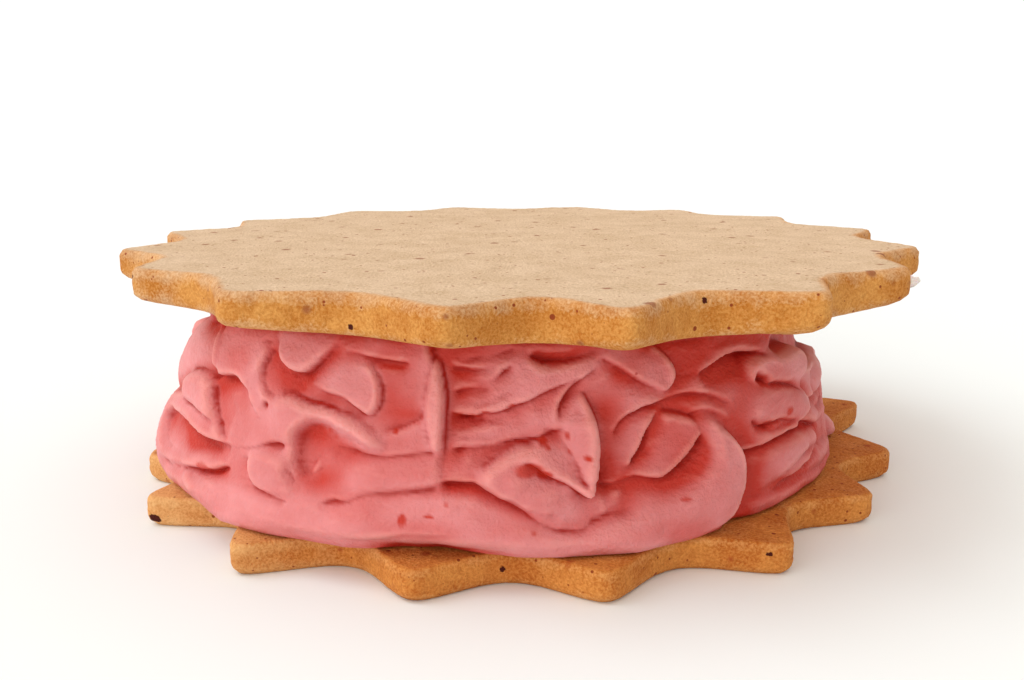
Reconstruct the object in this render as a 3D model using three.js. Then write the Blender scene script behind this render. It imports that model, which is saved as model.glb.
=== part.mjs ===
// A cookie ice cream sandwich: two cookies cut as sixteen-pointed stars, baked flat, with a thick
// hand-spread layer of strawberry ice cream between them.
// Millimetres, +Z up. The sandwich rests on z = 0 and its front is turned to -Y.

import * as THREE from 'three';

// ---- driving dimensions -------------------------------------------------------------------------

const TEETH = 16;
const COOKIE_THICKNESS = 3.8;
const FILLING_THICKNESS = 23.3;
const REST_GAP = 0.3; // kept between the ice cream and each cookie

const BOTTOM_COOKIE = {
  tipRadius: 52.5,
  valleyRadius: 46.0,
  firstTooth: 213.6, // where the first tooth points, in degrees
  toothTurns: [0, -1, -1, -1, 0, 0, -2.5, 0.5, 0, 0.5, -0.5, 0, 0.5, 0, -0.5, 4.5],
  toothReach: [1, 1, -1, -1, 0, -1, -0.5, 2, 0, -0.5, 0.5, 0, -0.5, 0.5, 0, -1],
};

const TOP_COOKIE = {
  tipRadius: 54.0,
  valleyRadius: 48.7,
  firstTooth: 214.1,
  toothTurns: [-3, -1.5, 3, -1.5, -1, 0, 0.5, 1, 1.5, 0.5, -1, 1.5, 0.5, 2, -1, -1],
  toothReach: [-1, -0.5, 0.5, 1.5, 1, -1, -0.5, 0.5, 0.5, 0, -0.5, -0.5, -0.5, 0, 0.5, 0],
};

// The top cookie's teeth are thinner than its middle, which hangs down below their tips by this
// much, and by this much more for each mm to the right.
const BELLY = 0.8;
const BELLY_ACROSS = 0.008;

// The top cookie sits a little off centre and leans by half a degree towards the back.
const TOP_SHIFT = new THREE.Vector2(0.5, -0.5);
const TOP_RISE_ACROSS = 0.003; // mm up for each mm to the right
const TOP_RISE_BACK = -0.011; // mm up for each mm to the back

const UPPER_RIM_ROUNDING = 1.0;
const LOWER_RIM_ROUNDING = 0.4;
const UNDERSIDE_INSET = 3.0; // where the underside turns up towards the teeth
const TIP_SOFTNESS = 0.12; // how blunt a tooth is, as a share of half the pitch

// The plain side of the ice cream, before its folds. It bulges to the front left and leans in above,
// most on the left.
const FILLING_CENTRE = new THREE.Vector2(-2.0, 0.0);
const FILLING_RADIUS = 47.0;
const BULGE_LEFT = 1.5;
const BULGE_FRONT = 1.0;
const LEAN = 5.0;
const LEAN_LEFT = 2.2;
const LEAN_LEFT_AT = 190; // degrees
const LEAN_CURVE = 1.2;

const FOOT_TUCK = 0.9; // how far its lower edge rolls in on the cookie
const FOOT_HEIGHT = 0.9;
const HEAD_TUCK = 0.8;
const HEAD_HEIGHT = 1.5;

const FILLING_COLUMNS = 200;
const FILLING_ROWS = 24;
const FINEST_STEP = 1.3; // the narrowest step that this faceting can show

const COOKIE_COLOUR = 0xd3a05f;
const TOP_COOKIE_COLOUR = 0xdcb483;
const ICE_CREAM_COLOUR = 0xe07b7c;

// ---- small helpers --------------------------------------------------------------------------------

const FULL_TURN = 360;
const MM_PER_DEGREE = (Math.PI / 180) * 46;

const mix = (a, b, share) => a + (b - a) * share;

function smooth(value) {
  const x = THREE.MathUtils.clamp(value, 0, 1);
  return x * x * (3 - 2 * x);
}

// A repeatable number from 0 to 1 for the uneven parts of the work.
function uneven(index, kind) {
  const wave = Math.sin(index * 12.9898 + kind * 78.233) * 43758.5453;
  return wave - Math.floor(wave);
}

// The height of the top cookie's tooth tips, at their lower edge, and of its underside.
const tipsOfTop = (x, y) =>
  COOKIE_THICKNESS + FILLING_THICKNESS + TOP_RISE_ACROSS * x + TOP_RISE_BACK * y;
const belly = (x) => BELLY + BELLY_ACROSS * x;
const undersideOfTop = (x, y) => tipsOfTop(x, y) - belly(x);

// A closed body from rings of points, the lowest first, with a middle point below and above.
function ringedGeometry(rings, middleBelow, middleAbove) {
  const count = rings[0].length;
  const points = [...rings.flat(), middleBelow, middleAbove];
  const below = points.length - 2;
  const above = points.length - 1;
  const top = (rings.length - 1) * count;
  const corners = [];
  for (let i = 0; i < count; i += 1) {
    const j = (i + 1) % count;
    corners.push(below, j, i, above, top + i, top + j);
    for (let ring = 0; ring < rings.length - 1; ring += 1) {
      const low = ring * count;
      const high = low + count;
      corners.push(low + i, low + j, high + j, low + i, high + j, high + i);
    }
  }
  const geometry = new THREE.BufferGeometry().setFromPoints(points);
  geometry.setIndex(corners);
  geometry.computeVertexNormals();
  return geometry;
}

// ---- cookies --------------------------------------------------------------------------------------

// Where along one tooth, from its tip to the next, the outline has its points: close at the tips.
const TOOTH_STEPS = [0, 0.06, 0.15, 0.27, 0.4, 0.5, 0.6, 0.73, 0.85, 0.94];

function cookieOutline(cookie) {
  const pitch = FULL_TURN / TEETH;
  const softSlope = (u) => Math.hypot(u, TIP_SOFTNESS) - TIP_SOFTNESS;
  const outline = [];
  for (let tooth = 0; tooth < TEETH; tooth += 1) {
    const next = (tooth + 1) % TEETH;
    const start = tooth * pitch + cookie.toothTurns[tooth];
    const end = (tooth + 1) * pitch + cookie.toothTurns[next];
    for (const step of TOOTH_STEPS) {
      const fromTip = 1 - Math.abs(2 * step - 1);
      const drop = Math.sin((Math.PI / 2) * (softSlope(fromTip) / softSlope(1)));
      const tip = cookie.tipRadius + mix(cookie.toothReach[tooth], cookie.toothReach[next], step);
      const radius = mix(tip, cookie.valleyRadius, drop);
      const angle = THREE.MathUtils.degToRad(cookie.firstTooth + mix(start, end, step));
      outline.push({ x: radius * Math.cos(angle), y: radius * Math.sin(angle), angle, drop });
    }
  }
  return outline;
}

// A ring of the cookie: its outline drawn in by a distance, square to its own line, with its height
// at each point told by height(x, drop), where drop is 0 at a tip and 1 between two teeth.
function rimRing(outline, distance, height) {
  const count = outline.length;
  return outline.map(({ x, y, drop }, i) => {
    const ahead = outline[(i + 1) % count];
    const behind = outline[(i + count - 1) % count];
    const along = new THREE.Vector2(ahead.x - behind.x, ahead.y - behind.y).normalize();
    return new THREE.Vector3(x - along.y * distance, y + along.x * distance, height(x, drop));
  });
}

// The cookie's origin is at the lower edge of its tooth tips. hang(x) is how far its middle hangs
// down below them.
function cookieMesh(name, cookie, colour, hang) {
  const outline = cookieOutline(cookie);
  const lowRadius = cookie.valleyRadius - UNDERSIDE_INSET;
  const underside = outline.map(({ angle }) => {
    const x = lowRadius * Math.cos(angle);
    return new THREE.Vector3(x, lowRadius * Math.sin(angle), -hang(x));
  });
  const rings = [
    underside,
    rimRing(outline, LOWER_RIM_ROUNDING, (x, drop) => -hang(x) * drop),
    rimRing(outline, 0, (x, drop) => LOWER_RIM_ROUNDING - hang(x) * drop),
    rimRing(outline, 0, () => COOKIE_THICKNESS - UPPER_RIM_ROUNDING),
    rimRing(outline, 0.3 * UPPER_RIM_ROUNDING, () => COOKIE_THICKNESS - 0.3 * UPPER_RIM_ROUNDING),
    rimRing(outline, UPPER_RIM_ROUNDING, () => COOKIE_THICKNESS),
  ];
  const geometry = ringedGeometry(
    rings,
    new THREE.Vector3(0, 0, -hang(0)),
    new THREE.Vector3(0, 0, COOKIE_THICKNESS),
  );
  const material = new THREE.MeshStandardMaterial({ color: colour, roughness: 0.75, metalness: 0 });
  const mesh = new THREE.Mesh(geometry, material);
  mesh.name = name;
  return mesh;
}

// ---- folds of the ice cream -----------------------------------------------------------------------
// The side of the ice cream is seen unrolled: x runs round it in mm (0 at +X, counter-clockwise),
// z is the height. Each fold lays its own level, in mm out from the plain side, over what is there.

// A rounded lobe or, with a negative crown, a hollow. at = [degrees, z], size = half length and
// half height, turn in degrees, soft = the width of its four edges: ahead, above, behind, below.
function lobe(at, size, { turn = 0, level = 0, crown = 0, tilt = 0, soft = [0, 0, 0, 0], power = 2.3 }) {
  const centre = new THREE.Vector2(at[0] * MM_PER_DEGREE, at[1]);
  const [cos, sin] = [Math.cos(turn * THREE.MathUtils.DEG2RAD), Math.sin(turn * THREE.MathUtils.DEG2RAD)];
  const edges = soft.map((edge) => Math.max(edge, FINEST_STEP));
  return (x, z, below) => {
    const dx = x - centre.x;
    const dz = z - centre.y;
    if (Math.hypot(dx, dz) > size[0] + size[1] + Math.max(...edges)) return below;
    const along = dx * cos + dz * sin;
    const across = -dx * sin + dz * cos;
    const ratio = (Math.abs(along / size[0]) ** power + Math.abs(across / size[1]) ** power) ** (1 / power);
    const away = Math.hypot(along, across);
    const inside = away < 1e-6 ? size[1] : away * (1 / ratio - 1);
    const alongShare = (along / size[0]) ** 2;
    const acrossShare = (across / size[1]) ** 2 + 1e-9;
    const endEdge = along > 0 ? edges[0] : edges[2];
    const sideEdge = across > 0 ? edges[1] : edges[3];
    const edge = (endEdge * alongShare + sideEdge * acrossShare) / (alongShare + acrossShare);
    const own = level + tilt * along + crown * (1 - Math.min(ratio, 1.2) ** 2);
    return mix(below, own, smooth(0.5 + inside / edge));
  };
}

// A long fold along a curve through path = [degrees, z, half width, level]. left and right are what
// its two borders add to the level, edges how soft they end, and fade how it dies out at its ends.
function fold(path, { left = 0, right = 0, edges = [0, 0], fade = [0, 0] }) {
  const route = new THREE.CatmullRomCurve3(
    path.map(([degrees, z]) => new THREE.Vector3(degrees * MM_PER_DEGREE, z, 0)),
  );
  const sizes = new THREE.CatmullRomCurve3(
    path.map(([, , half, level]) => new THREE.Vector3(half, level, 0)),
  );
  const steps = (path.length - 1) * 5;
  const points = [];
  for (let step = 0; step <= steps; step += 1) {
    const spot = route.getPoint(step / steps);
    const size = sizes.getPoint(step / steps);
    points.push({ spot: new THREE.Vector2(spot.x, spot.y), half: size.x, level: size.y });
  }
  const length = route.getLength();
  const [leftEdge, rightEdge] = edges.map((edge) => Math.max(edge, FINEST_STEP));
  const reach = Math.max(...points.map((point) => point.half)) + Math.max(leftEdge, rightEdge);
  const box = new THREE.Box2().setFromPoints(points.map((point) => point.spot)).expandByScalar(reach);
  return (x, z, below) => {
    const here = new THREE.Vector2(x, z);
    if (!box.containsPoint(here)) return below;
    let nearest = { distance: Infinity };
    for (let i = 0; i < steps; i += 1) {
      const run = points[i + 1].spot.clone().sub(points[i].spot);
      const offset = here.clone().sub(points[i].spot);
      const share = THREE.MathUtils.clamp(offset.dot(run) / run.lengthSq(), 0, 1);
      const distance = offset.distanceTo(run.clone().multiplyScalar(share));
      if (distance < nearest.distance) nearest = { distance, share, i, side: run.cross(offset) };
    }
    const { distance, share, i, side } = nearest;
    const half = Math.max(mix(points[i].half, points[i + 1].half, share), 0.01);
    const border = Math.min(distance / half, 1) ** 2 * (side > 0 ? left : right);
    const own = mix(points[i].level, points[i + 1].level, share) + border;
    const done = ((i + share) / steps) * length;
    let cover = smooth(0.5 + (half - distance) / (side > 0 ? leftEdge : rightEdge));
    if (fade[0] > 0) cover *= smooth(done / fade[0]);
    if (fade[1] > 0) cover *= smooth((length - done) / fade[1]);
    return mix(below, own, cover);
  };
}

// The front, from the left to the right, each after what it lies on.
const FRONT_FOLDS = [
  fold( // upper left lobe
    [[180, 15.5, 5, -2], [198, 16.8, 5.2, -1], [210, 19.4, 4.4, -0.2], [219, 21, 3.6, 0]],
    { left: -1.8, right: -1.6, edges: [2, 1.3], fade: [4, 0] },
  ),
  lobe([230, 15.6], [7, 4.2], { turn: 7, crown: 1.4, soft: [3, 1, 0, 0] }), // smooth cheek
  lobe([226.5, 22.4], [5, 3.2], { level: -0.3, crown: 0.9, soft: [2, 2, 1, 0], power: 3.2 }), // brow over it
  lobe([216.5, 16.9], [3.6, 1.8], { turn: -2, level: -0.2, crown: 1 }), // small ball
  fold( // body of the big curl at the left
    [
      [180, 7, 3.4, -0.8], [198, 7.8, 3.9, 0], [206, 9.8, 4.8, 0.8], [214, 11, 4.8, 1],
      [221, 11.4, 4, 0.6], [228, 11.2, 1.4, 0],
    ],
    { left: -1.2, right: -0.5, edges: [0, 2], fade: [4, 0] },
  ),
  lobe( // its scoop
    [211.5, 11.3], [8.2, 3.5],
    { turn: 7, level: 0.6, crown: -2.6, soft: [3, 0, 3, 1.5], power: 2 },
  ),
  fold( // smooth apron that runs along the foot
    [
      [208, 4.6, 1.8, 0.2], [222, 5.4, 2.6, 0.7], [242, 5.4, 3.3, 1.1], [262, 7.2, 3.5, 0.9],
      [270, 6.3, 3.3, 1.3], [279, 4.9, 2.8, 1.9], [289, 4.9, 2.8, 2.2], [300, 5, 2.4, 1.4],
    ],
    { left: -1.1, right: -0.3, edges: [0, 1.5], fade: [3, 3] },
  ),
  lobe([237.6, 10.2], [3.4, 2.1], { turn: -6, level: 0.8, crown: 0.8, power: 2.8 }), // pillow on the apron
  lobe([235.5, 19], [3.9, 4.1], { turn: -30, level: 0.7, crown: 0.6, soft: [2, 1, 2, 2] }),
  lobe([238.3, 20.3], [3.4, 1.9], { turn: -25, level: -0.4, crown: -0.5 }), // spoon-shaped hollow
  lobe([247.7, 21.2], [4.3, 2.7], { turn: -12, level: 0.9, crown: 0.3, tilt: 0.14 }), // half moon
  lobe([239.8, 24.6], [4.4, 3.1], { level: 0.6, crown: 1.2, power: 2 }), // ball under the cookie
  lobe([256.6, 20.5], [2.5, 4.4], { level: -0.8, crown: -0.2, power: 4 }), // flat panel
  lobe( // recess
    [265.8, 19.6], [3.2, 7.4],
    { level: -1.6, crown: -0.4, tilt: 0.1, soft: [3, 1, 0, 2], power: 4 },
  ),
  fold( // band over the apron
    [[246, 11, 1.6, -0.2], [255, 12.2, 1.9, 0.6], [264, 12.9, 1.6, 0], [270, 14, 1.3, 0.4]],
    { left: -0.7, right: -0.6, fade: [2, 2] },
  ),
  fold( // upright lip with a step on its right
    [[261.2, 23.6, 0.7, 0.7], [261.2, 20.2, 1.3, 1.3], [261.5, 15.9, 1.1, 1], [262.2, 12.7, 0.7, 0.3]],
    { left: 0.1, right: -0.8, edges: [0, 1.8] },
  ),
  fold( // two slanting folds that rise to the peak
    [[263.4, 21, 0.8, -1.2], [268, 21.6, 1.2, -0.2], [276.2, 22.2, 1.5, 0.8], [283.4, 23.9, 0.9, 0.8]],
    { right: -0.5, fade: [1, 1] },
  ),
  fold(
    [[263.4, 16.9, 1, -0.9], [268, 17.4, 1.5, 0.2], [275.2, 18.7, 1.7, 0.9], [280.9, 21.1, 1.2, 1]],
    { left: -0.5, right: -0.4, fade: [1, 1] },
  ),
  lobe( // round scoop with a raised rim on its left
    [246.9, 14.2], [5.6, 3.4],
    { turn: 3, level: 1.2, crown: -2.8, tilt: -0.08, soft: [1.5, 0, 0, 2.4], power: 2 },
  ),
  lobe([276.7, 10.3], [6.6, 2.8], { turn: -14, level: 0.9, crown: 0.9, soft: [3, 0, 0, 0], power: 2.2 }),
  lobe([274.5, 13.1], [2.2, 1.2], { turn: -22, level: -0.7, crown: -0.8, power: 2 }), // small mouth
  fold( // tongue that hangs from the peak, steep on its right
    [[280.2, 20.5, 0.7, 1.2], [279.1, 17.1, 2.5, 1.9], [279.5, 13.3, 2, 2.2], [281.4, 10.5, 0.6, 2]],
    { left: 1.3, right: -1, edges: [0, 1.2] },
  ),
  lobe([285.2, 16.2], [2.3, 4.5], { turn: 4, level: -0.4, crown: -0.2, tilt: 0.12, soft: [2.5, 2, 0, 1.5] }),
  fold( // peak
    [[277.9, 18.5, 0.6, 0.9], [280.6, 21.7, 0.8, 1.5], [283.7, 23, 0.9, 2], [290.2, 20.6, 0.8, 0.8]],
    { left: -0.3, right: -0.6, fade: [0.5, 1] },
  ),
  fold( // pointed flap
    [[286.1, 24.3, 0.9, 0.3], [289.8, 23.3, 1.3, 0.7], [293, 22.1, 1.4, 1.2], [294.7, 20.9, 0.8, 1.4]],
    { left: 0.1, right: -0.3, fade: [1, 0] },
  ),
  lobe([306, 21.8], [7, 1.1], { turn: -4, level: -1, crown: -0.6, soft: [1.5, 1, 2, 0] }),
  fold(
    [[296.5, 20.2, 1, -0.2], [302, 19.4, 1.7, 0.2], [308, 18.2, 2, 0.4], [313, 17, 1.8, 0.3]],
    { left: -0.6, right: -0.5, fade: [1, 2] },
  ),
  lobe([344, 21.4], [10, 3.2], { level: -1.8, crown: -0.4, soft: [4, 1.5, 2, 2] }), // set back above
  fold( // ball that stands out behind on the right
    [[327, 18, 1.4, -0.2], [334, 16.4, 1.7, 0.2], [342, 15.4, 1.6, -0.1], [350, 15, 1.2, -0.8]],
    { left: -1.6, right: -1.2, fade: [0, 2] },
  ),
  lobe([317, 19.5], [7.6, 2.2], { turn: -9, level: 0.3, crown: 0.9 }),
  fold( // long folds that end as fingers at the right
    [
      [304, 14, 1.1, -0.2], [312, 12.9, 1.3, 0.4], [326, 11.8, 1.2, 0.7], [335, 10.3, 1.1, 0.5],
      [344, 8.6, 0.7, 0.2],
    ],
    { left: -0.5, right: -0.2, fade: [1, 2] },
  ),
  lobe([319, 15.4], [6.4, 2.1], { turn: -8, level: 0.3, crown: 1.2, soft: [0, 0, 2.2, 0] }),
  fold(
    [
      [303, 7.3, 3.6, 0.4], [312, 7.6, 3.8, 1.1], [322, 8.3, 2.8, 1.1], [332, 7.8, 1.5, 0.7],
      [341, 6.6, 0.9, 0.3],
    ],
    { left: -0.6, right: -0.5, fade: [0, 1] },
  ),
  lobe([321.5, 5.6], [6.2, 1.7], { turn: 1, level: 0.8, crown: 0.8, tilt: -0.04, soft: [0, 0, 2.5, 0] }),
  fold( // outer layer of the big leaf
    [[285.7, 15.8, 0.6, 0.1], [289.2, 17.3, 0.9, 0.6], [299.4, 17, 1.3, 1], [309.5, 13.7, 0.9, 0.2]],
    { left: -0.1, right: -0.2, fade: [0.5, 1] },
  ),
  lobe([298.4, 9.7], [6.3, 6.3], { level: 0.7, crown: 1.6, tilt: 0.07, soft: [0, 0, 2.5, 1] }), // big leaf
  lobe([293, 13.9], [5.1, 1.9], { turn: 13, crown: -0.9, tilt: 0.1, power: 1.8 }), // its cup
];

// The same hand goes on round the sides and the back with folds and scoops of its own.
const HIDDEN_START = 347;
const HIDDEN_END = 516;
const HIDDEN_FOLDS = 40;
const ROW_STRIDE = 0.618; // spreads the folds over the height

function hiddenFold(index) {
  const start = mix(HIDDEN_START, HIDDEN_END, index / HIDDEN_FOLDS) + 4 * uneven(index, 1);
  const z = 5.5 + 18 * ((index * ROW_STRIDE) % 1);
  const length = 16 + 14 * uneven(index, 2);
  const rise = 5 * uneven(index, 3) - 2.5;
  const bend = 3 * uneven(index, 4) - 1.5;
  const half = 1.7 + 1.5 * uneven(index, 5);
  const isScoop = index % 3 === 1;
  const level = isScoop ? -0.9 : 0.9 + 0.9 * uneven(index, 6);
  const path = [
    [start, z - rise, half * 0.5, level * 0.5],
    [start + length * 0.35, z + bend, half, level],
    [start + length * 0.75, z + rise * 0.5 + bend, half, level],
    [start + length, z + rise, half * 0.5, level * 0.6],
  ];
  const borders = isScoop ? { left: 1.8, right: 1.3 } : { left: -0.9, right: -0.4 };
  return fold(path, { ...borders, edges: [0, 2], fade: [2, 2] });
}

const FOLDS = [...Array.from({ length: HIDDEN_FOLDS }, (_, index) => hiddenFold(index)), ...FRONT_FOLDS];

// How far the ice cream stands out from its plain side. The folds are tried both as they lie and one
// turn on, since the hidden ones run on past the full turn.
function foldLevel(degrees, z) {
  let level = 0.35 * Math.sin(THREE.MathUtils.degToRad(3 * degrees + 20)) * Math.sin(z / 3.4);
  for (const lay of FOLDS) {
    level = lay(degrees * MM_PER_DEGREE, z, level);
    level = lay((degrees + FULL_TURN) * MM_PER_DEGREE, z, level);
  }
  return level;
}

function plainRadius(degrees, z) {
  const angle = THREE.MathUtils.degToRad(degrees);
  const share = Math.max((z - COOKIE_THICKNESS) / FILLING_THICKNESS, 0);
  const towardsLean = Math.max(Math.cos(THREE.MathUtils.degToRad(degrees - LEAN_LEFT_AT)), 0);
  const bulge = -BULGE_LEFT * Math.cos(angle) - BULGE_FRONT * Math.sin(angle);
  return FILLING_RADIUS + bulge - (LEAN + LEAN_LEFT * towardsLean) * share ** LEAN_CURVE;
}

function fillingRadius(degrees, z) {
  const foot = FOOT_TUCK * Math.exp(-Math.max(z - COOKIE_THICKNESS - REST_GAP, 0) / FOOT_HEIGHT);
  const belowTop = COOKIE_THICKNESS + FILLING_THICKNESS - z;
  const head = HEAD_TUCK * smooth(1 - belowTop / HEAD_HEIGHT);
  return plainRadius(degrees, z) + foldLevel(degrees, z) - foot - head;
}

function iceCreamMesh() {
  const lowest = COOKIE_THICKNESS + REST_GAP;
  const rings = [];
  for (let row = 0; row <= FILLING_ROWS; row += 1) {
    const share = row / FILLING_ROWS;
    const ring = [];
    for (let column = 0; column < FILLING_COLUMNS; column += 1) {
      const degrees = (column * FULL_TURN) / FILLING_COLUMNS;
      const angle = THREE.MathUtils.degToRad(degrees);
      const [cos, sin] = [Math.cos(angle), Math.sin(angle)];
      const highest = undersideOfTop(FILLING_RADIUS * cos, FILLING_RADIUS * sin) - REST_GAP;
      const z = mix(lowest, highest, share);
      const radius = fillingRadius(degrees, z);
      ring.push(new THREE.Vector3(FILLING_CENTRE.x + radius * cos, FILLING_CENTRE.y + radius * sin, z));
    }
    rings.push(ring);
  }
  const middle = (z) => new THREE.Vector3(FILLING_CENTRE.x, FILLING_CENTRE.y, z);
  const geometry = ringedGeometry(rings, middle(lowest), middle(undersideOfTop(0, 0) - REST_GAP));
  const material = new THREE.MeshStandardMaterial({
    color: ICE_CREAM_COLOUR,
    roughness: 0.45,
    metalness: 0,
  });
  const mesh = new THREE.Mesh(geometry, material);
  mesh.name = 'ice_cream';
  return mesh;
}

// ---- the sandwich ---------------------------------------------------------------------------------

const bottomCookie = cookieMesh('bottom_cookie', BOTTOM_COOKIE, COOKIE_COLOUR, () => 0);

const topCookie = cookieMesh('top_cookie', TOP_COOKIE, TOP_COOKIE_COLOUR, belly);
topCookie.position.set(TOP_SHIFT.x, TOP_SHIFT.y, tipsOfTop(TOP_SHIFT.x, TOP_SHIFT.y));
topCookie.rotation.set(Math.atan(TOP_RISE_BACK), -Math.atan(TOP_RISE_ACROSS), 0);

const sandwich = new THREE.Group();
sandwich.add(bottomCookie, iceCreamMesh(), topCookie);

// The origin goes below the middle of the whole outline.
sandwich.updateMatrixWorld(true);
const middle = new THREE.Box3().setFromObject(sandwich, true).getCenter(new THREE.Vector3());
sandwich.position.set(-middle.x, -middle.y, 0);

export default sandwich;
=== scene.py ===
import math

import bpy
import numpy as np
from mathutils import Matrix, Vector, noise


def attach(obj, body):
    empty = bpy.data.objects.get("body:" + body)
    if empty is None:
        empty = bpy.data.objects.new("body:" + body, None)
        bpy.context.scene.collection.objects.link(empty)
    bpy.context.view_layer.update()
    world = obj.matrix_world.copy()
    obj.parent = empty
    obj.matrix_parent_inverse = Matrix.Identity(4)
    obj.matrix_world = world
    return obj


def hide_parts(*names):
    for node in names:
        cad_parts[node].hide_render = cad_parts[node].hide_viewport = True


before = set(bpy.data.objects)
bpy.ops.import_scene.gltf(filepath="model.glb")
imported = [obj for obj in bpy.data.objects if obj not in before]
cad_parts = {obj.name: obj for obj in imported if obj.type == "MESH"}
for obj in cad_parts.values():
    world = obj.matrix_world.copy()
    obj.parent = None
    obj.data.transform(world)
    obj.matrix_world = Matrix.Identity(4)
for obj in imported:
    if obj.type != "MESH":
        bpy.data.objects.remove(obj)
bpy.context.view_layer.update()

# ---- sizes, in mm, as in the part's source ----------------------------------------------------------

MM = 0.001
SHIFT = np.array([-0.4246, 1.6268, 0.0])  # from the bottom cookie's middle to the part's origin

TEETH = 16
COOKIE_THICKNESS = 3.8
FILLING_THICKNESS = 23.3
BOTTOM_COOKIE = dict(
    tip=52.5, valley=46.0, first=213.6,
    turns=[0, -1, -1, -1, 0, 0, -2.5, 0.5, 0, 0.5, -0.5, 0, 0.5, 0, -0.5, 4.5],
    reach=[1, 1, -1, -1, 0, -1, -0.5, 2, 0, -0.5, 0.5, 0, -0.5, 0.5, 0, -1],
    burnt=[(214.6, 0.2, 0.7), (267.8, 0.5, 0.4), (301.5, 0.7, 0.3)],
)
TOP_COOKIE = dict(
    tip=54.0, valley=48.7, first=214.1,
    turns=[-3, -1.5, 3, -1.5, -1, 0, 0.5, 1, 1.5, 0.5, -1, 1.5, 0.5, 2, -1, -1],
    reach=[-1, -0.5, 0.5, 1.5, 1, -1, -0.5, 0.5, 0.5, 0, -0.5, -0.5, -0.5, 0, 0.5, 0],
    burnt=[(291.6, 0.9, 0.38), (249.2, 0.2, 0.38), (211.4, 0.8, 0.3)],
)
TIP_SOFTNESS = 0.12
BELLY = 0.8
BELLY_ACROSS = 0.008
TOP_SHIFT = (0.5, -0.5)
TOP_RISE_ACROSS = 0.003
TOP_RISE_BACK = -0.011

FILLING_CENTRE = (-2.0, 0.0)
FILLING_RADIUS = 47.0
BULGE_LEFT = 1.5
BULGE_FRONT = 1.0
LEAN = 5.0
LEAN_LEFT = 2.2
LEAN_LEFT_AT = 190.0
LEAN_CURVE = 1.2
SKIN_RADIUS = 46  # mean radius of the skin, which turns degrees round it into mm
MM_PER_DEGREE = math.radians(SKIN_RADIUS)
CONTACT = 0.05  # gap between the ice cream and each cookie

CAMERA_TARGET = np.array([-0.761, 0.0, 16.15])
CAMERA_DISTANCE = 152.77
CAMERA_ELEVATION = math.radians(12.777)
CAMERA_LENS = 37.2
CAMERA_PLACE = CAMERA_TARGET + CAMERA_DISTANCE * np.array(
    [0, -math.cos(CAMERA_ELEVATION), math.sin(CAMERA_ELEVATION)]
)


# ---- small helpers ----------------------------------------------------------------------------------

def smooth(x):
    """From 0 at 0 to 1 at 1, level at both."""
    x = np.clip(x, 0, 1)
    return x * x * (3 - 2 * x)


def quarter_round(x):
    """From 0 at 0 to 1 at 1 along a quarter of a circle that is level at 0."""
    return 1 - np.sqrt(1 - np.clip(x, 0, 1) ** 2)


def between(degrees, start, rise, end, fall):
    """1 from start to end, apart from a soft rise after the one and a soft fall before the other."""
    return smooth((degrees - start) / rise) * smooth((end - degrees) / fall)


def uneven(index, kind):
    """A settled number between 0 and 1 that looks random, the same as in the source."""
    wave = math.sin(index * 12.9898 + kind * 78.233) * 43758.5453
    return wave - math.floor(wave)


def curve_through(points, closed=False, steps=8):
    """A Catmull-Rom line through points of any width."""
    p = np.array(points, float)
    if closed:
        p = np.vstack([p[-1:], p, p[:2]])
    else:
        p = np.vstack([2 * p[0] - p[1], p, 2 * p[-1] - p[-2]])
    t = np.linspace(0, 1, steps, endpoint=False)[:, None]
    runs = []
    for a, b, c, d in zip(p[:-3], p[1:-2], p[2:-1], p[3:]):
        runs.append(0.5 * (2 * b + (c - a) * t + (2 * a - 5 * b + 4 * c - d) * t * t
                           + (3 * b - a - 3 * c + d) * t ** 3))
    if not closed:
        runs.append(p[-2:-1])
    return np.vstack(runs)


def soft_noise(points, size, seed=0.0, octaves=3):
    """Smooth unevenness about 0 at points in mm, with bumps of about that size."""
    offset = Vector((seed * 17.3, seed * 9.1, seed * 4.7))
    return np.array([noise.fractal(Vector(p) / size + offset, 0.6, 2.0, octaves) for p in points])


# ---- the side of the ice cream as a sheet -------------------------------------------------------------
# x runs round the side in mm, z is the height, and h how far the surface stands out from the plain side.

# the straight drum that the marks of the front are laid out on, and how it narrows towards its head
DRUM_RADIUS = 47.5
DRUM_TAPER = 0.3
DRUM_NARROWING = 4.0
SIGHT_STEPS = 12
GRAZING = -25.0  # the least slope of a line of sight to the side, so that a grazing one settles too
MARK_LEVEL = 0.5  # how far the skin stands out, on the whole, where ridges and shelves lie
LOBE_POWER = 2.3  # 2 makes a lobe's outline an ellipse, and more than that squarer


def plain_radius(degrees, z):
    """Radius of the side without its folds, about the middle of the filling."""
    angle = np.radians(degrees)
    share = np.clip((z - COOKIE_THICKNESS) / FILLING_THICKNESS, 0, 2)
    towards = np.clip(np.cos(np.radians(degrees - LEAN_LEFT_AT)), 0, 1)
    bulge = -BULGE_LEFT * np.cos(angle) - BULGE_FRONT * np.sin(angle)
    return FILLING_RADIUS + bulge - (LEAN + LEAN_LEFT * towards) * share ** LEAN_CURVE


def tips_of_top(x, y):
    """Height of the upper cookie's underside at its tips."""
    return COOKIE_THICKNESS + FILLING_THICKNESS + TOP_RISE_ACROSS * x + TOP_RISE_BACK * y


def belly(x):
    """How far the upper cookie's underside hangs below its tips."""
    return BELLY + BELLY_ACROSS * x


def head_height(x, y):
    """Height of the ice cream's head, close under the upper cookie."""
    return tips_of_top(x, y) - belly(x) - CONTACT


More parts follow.
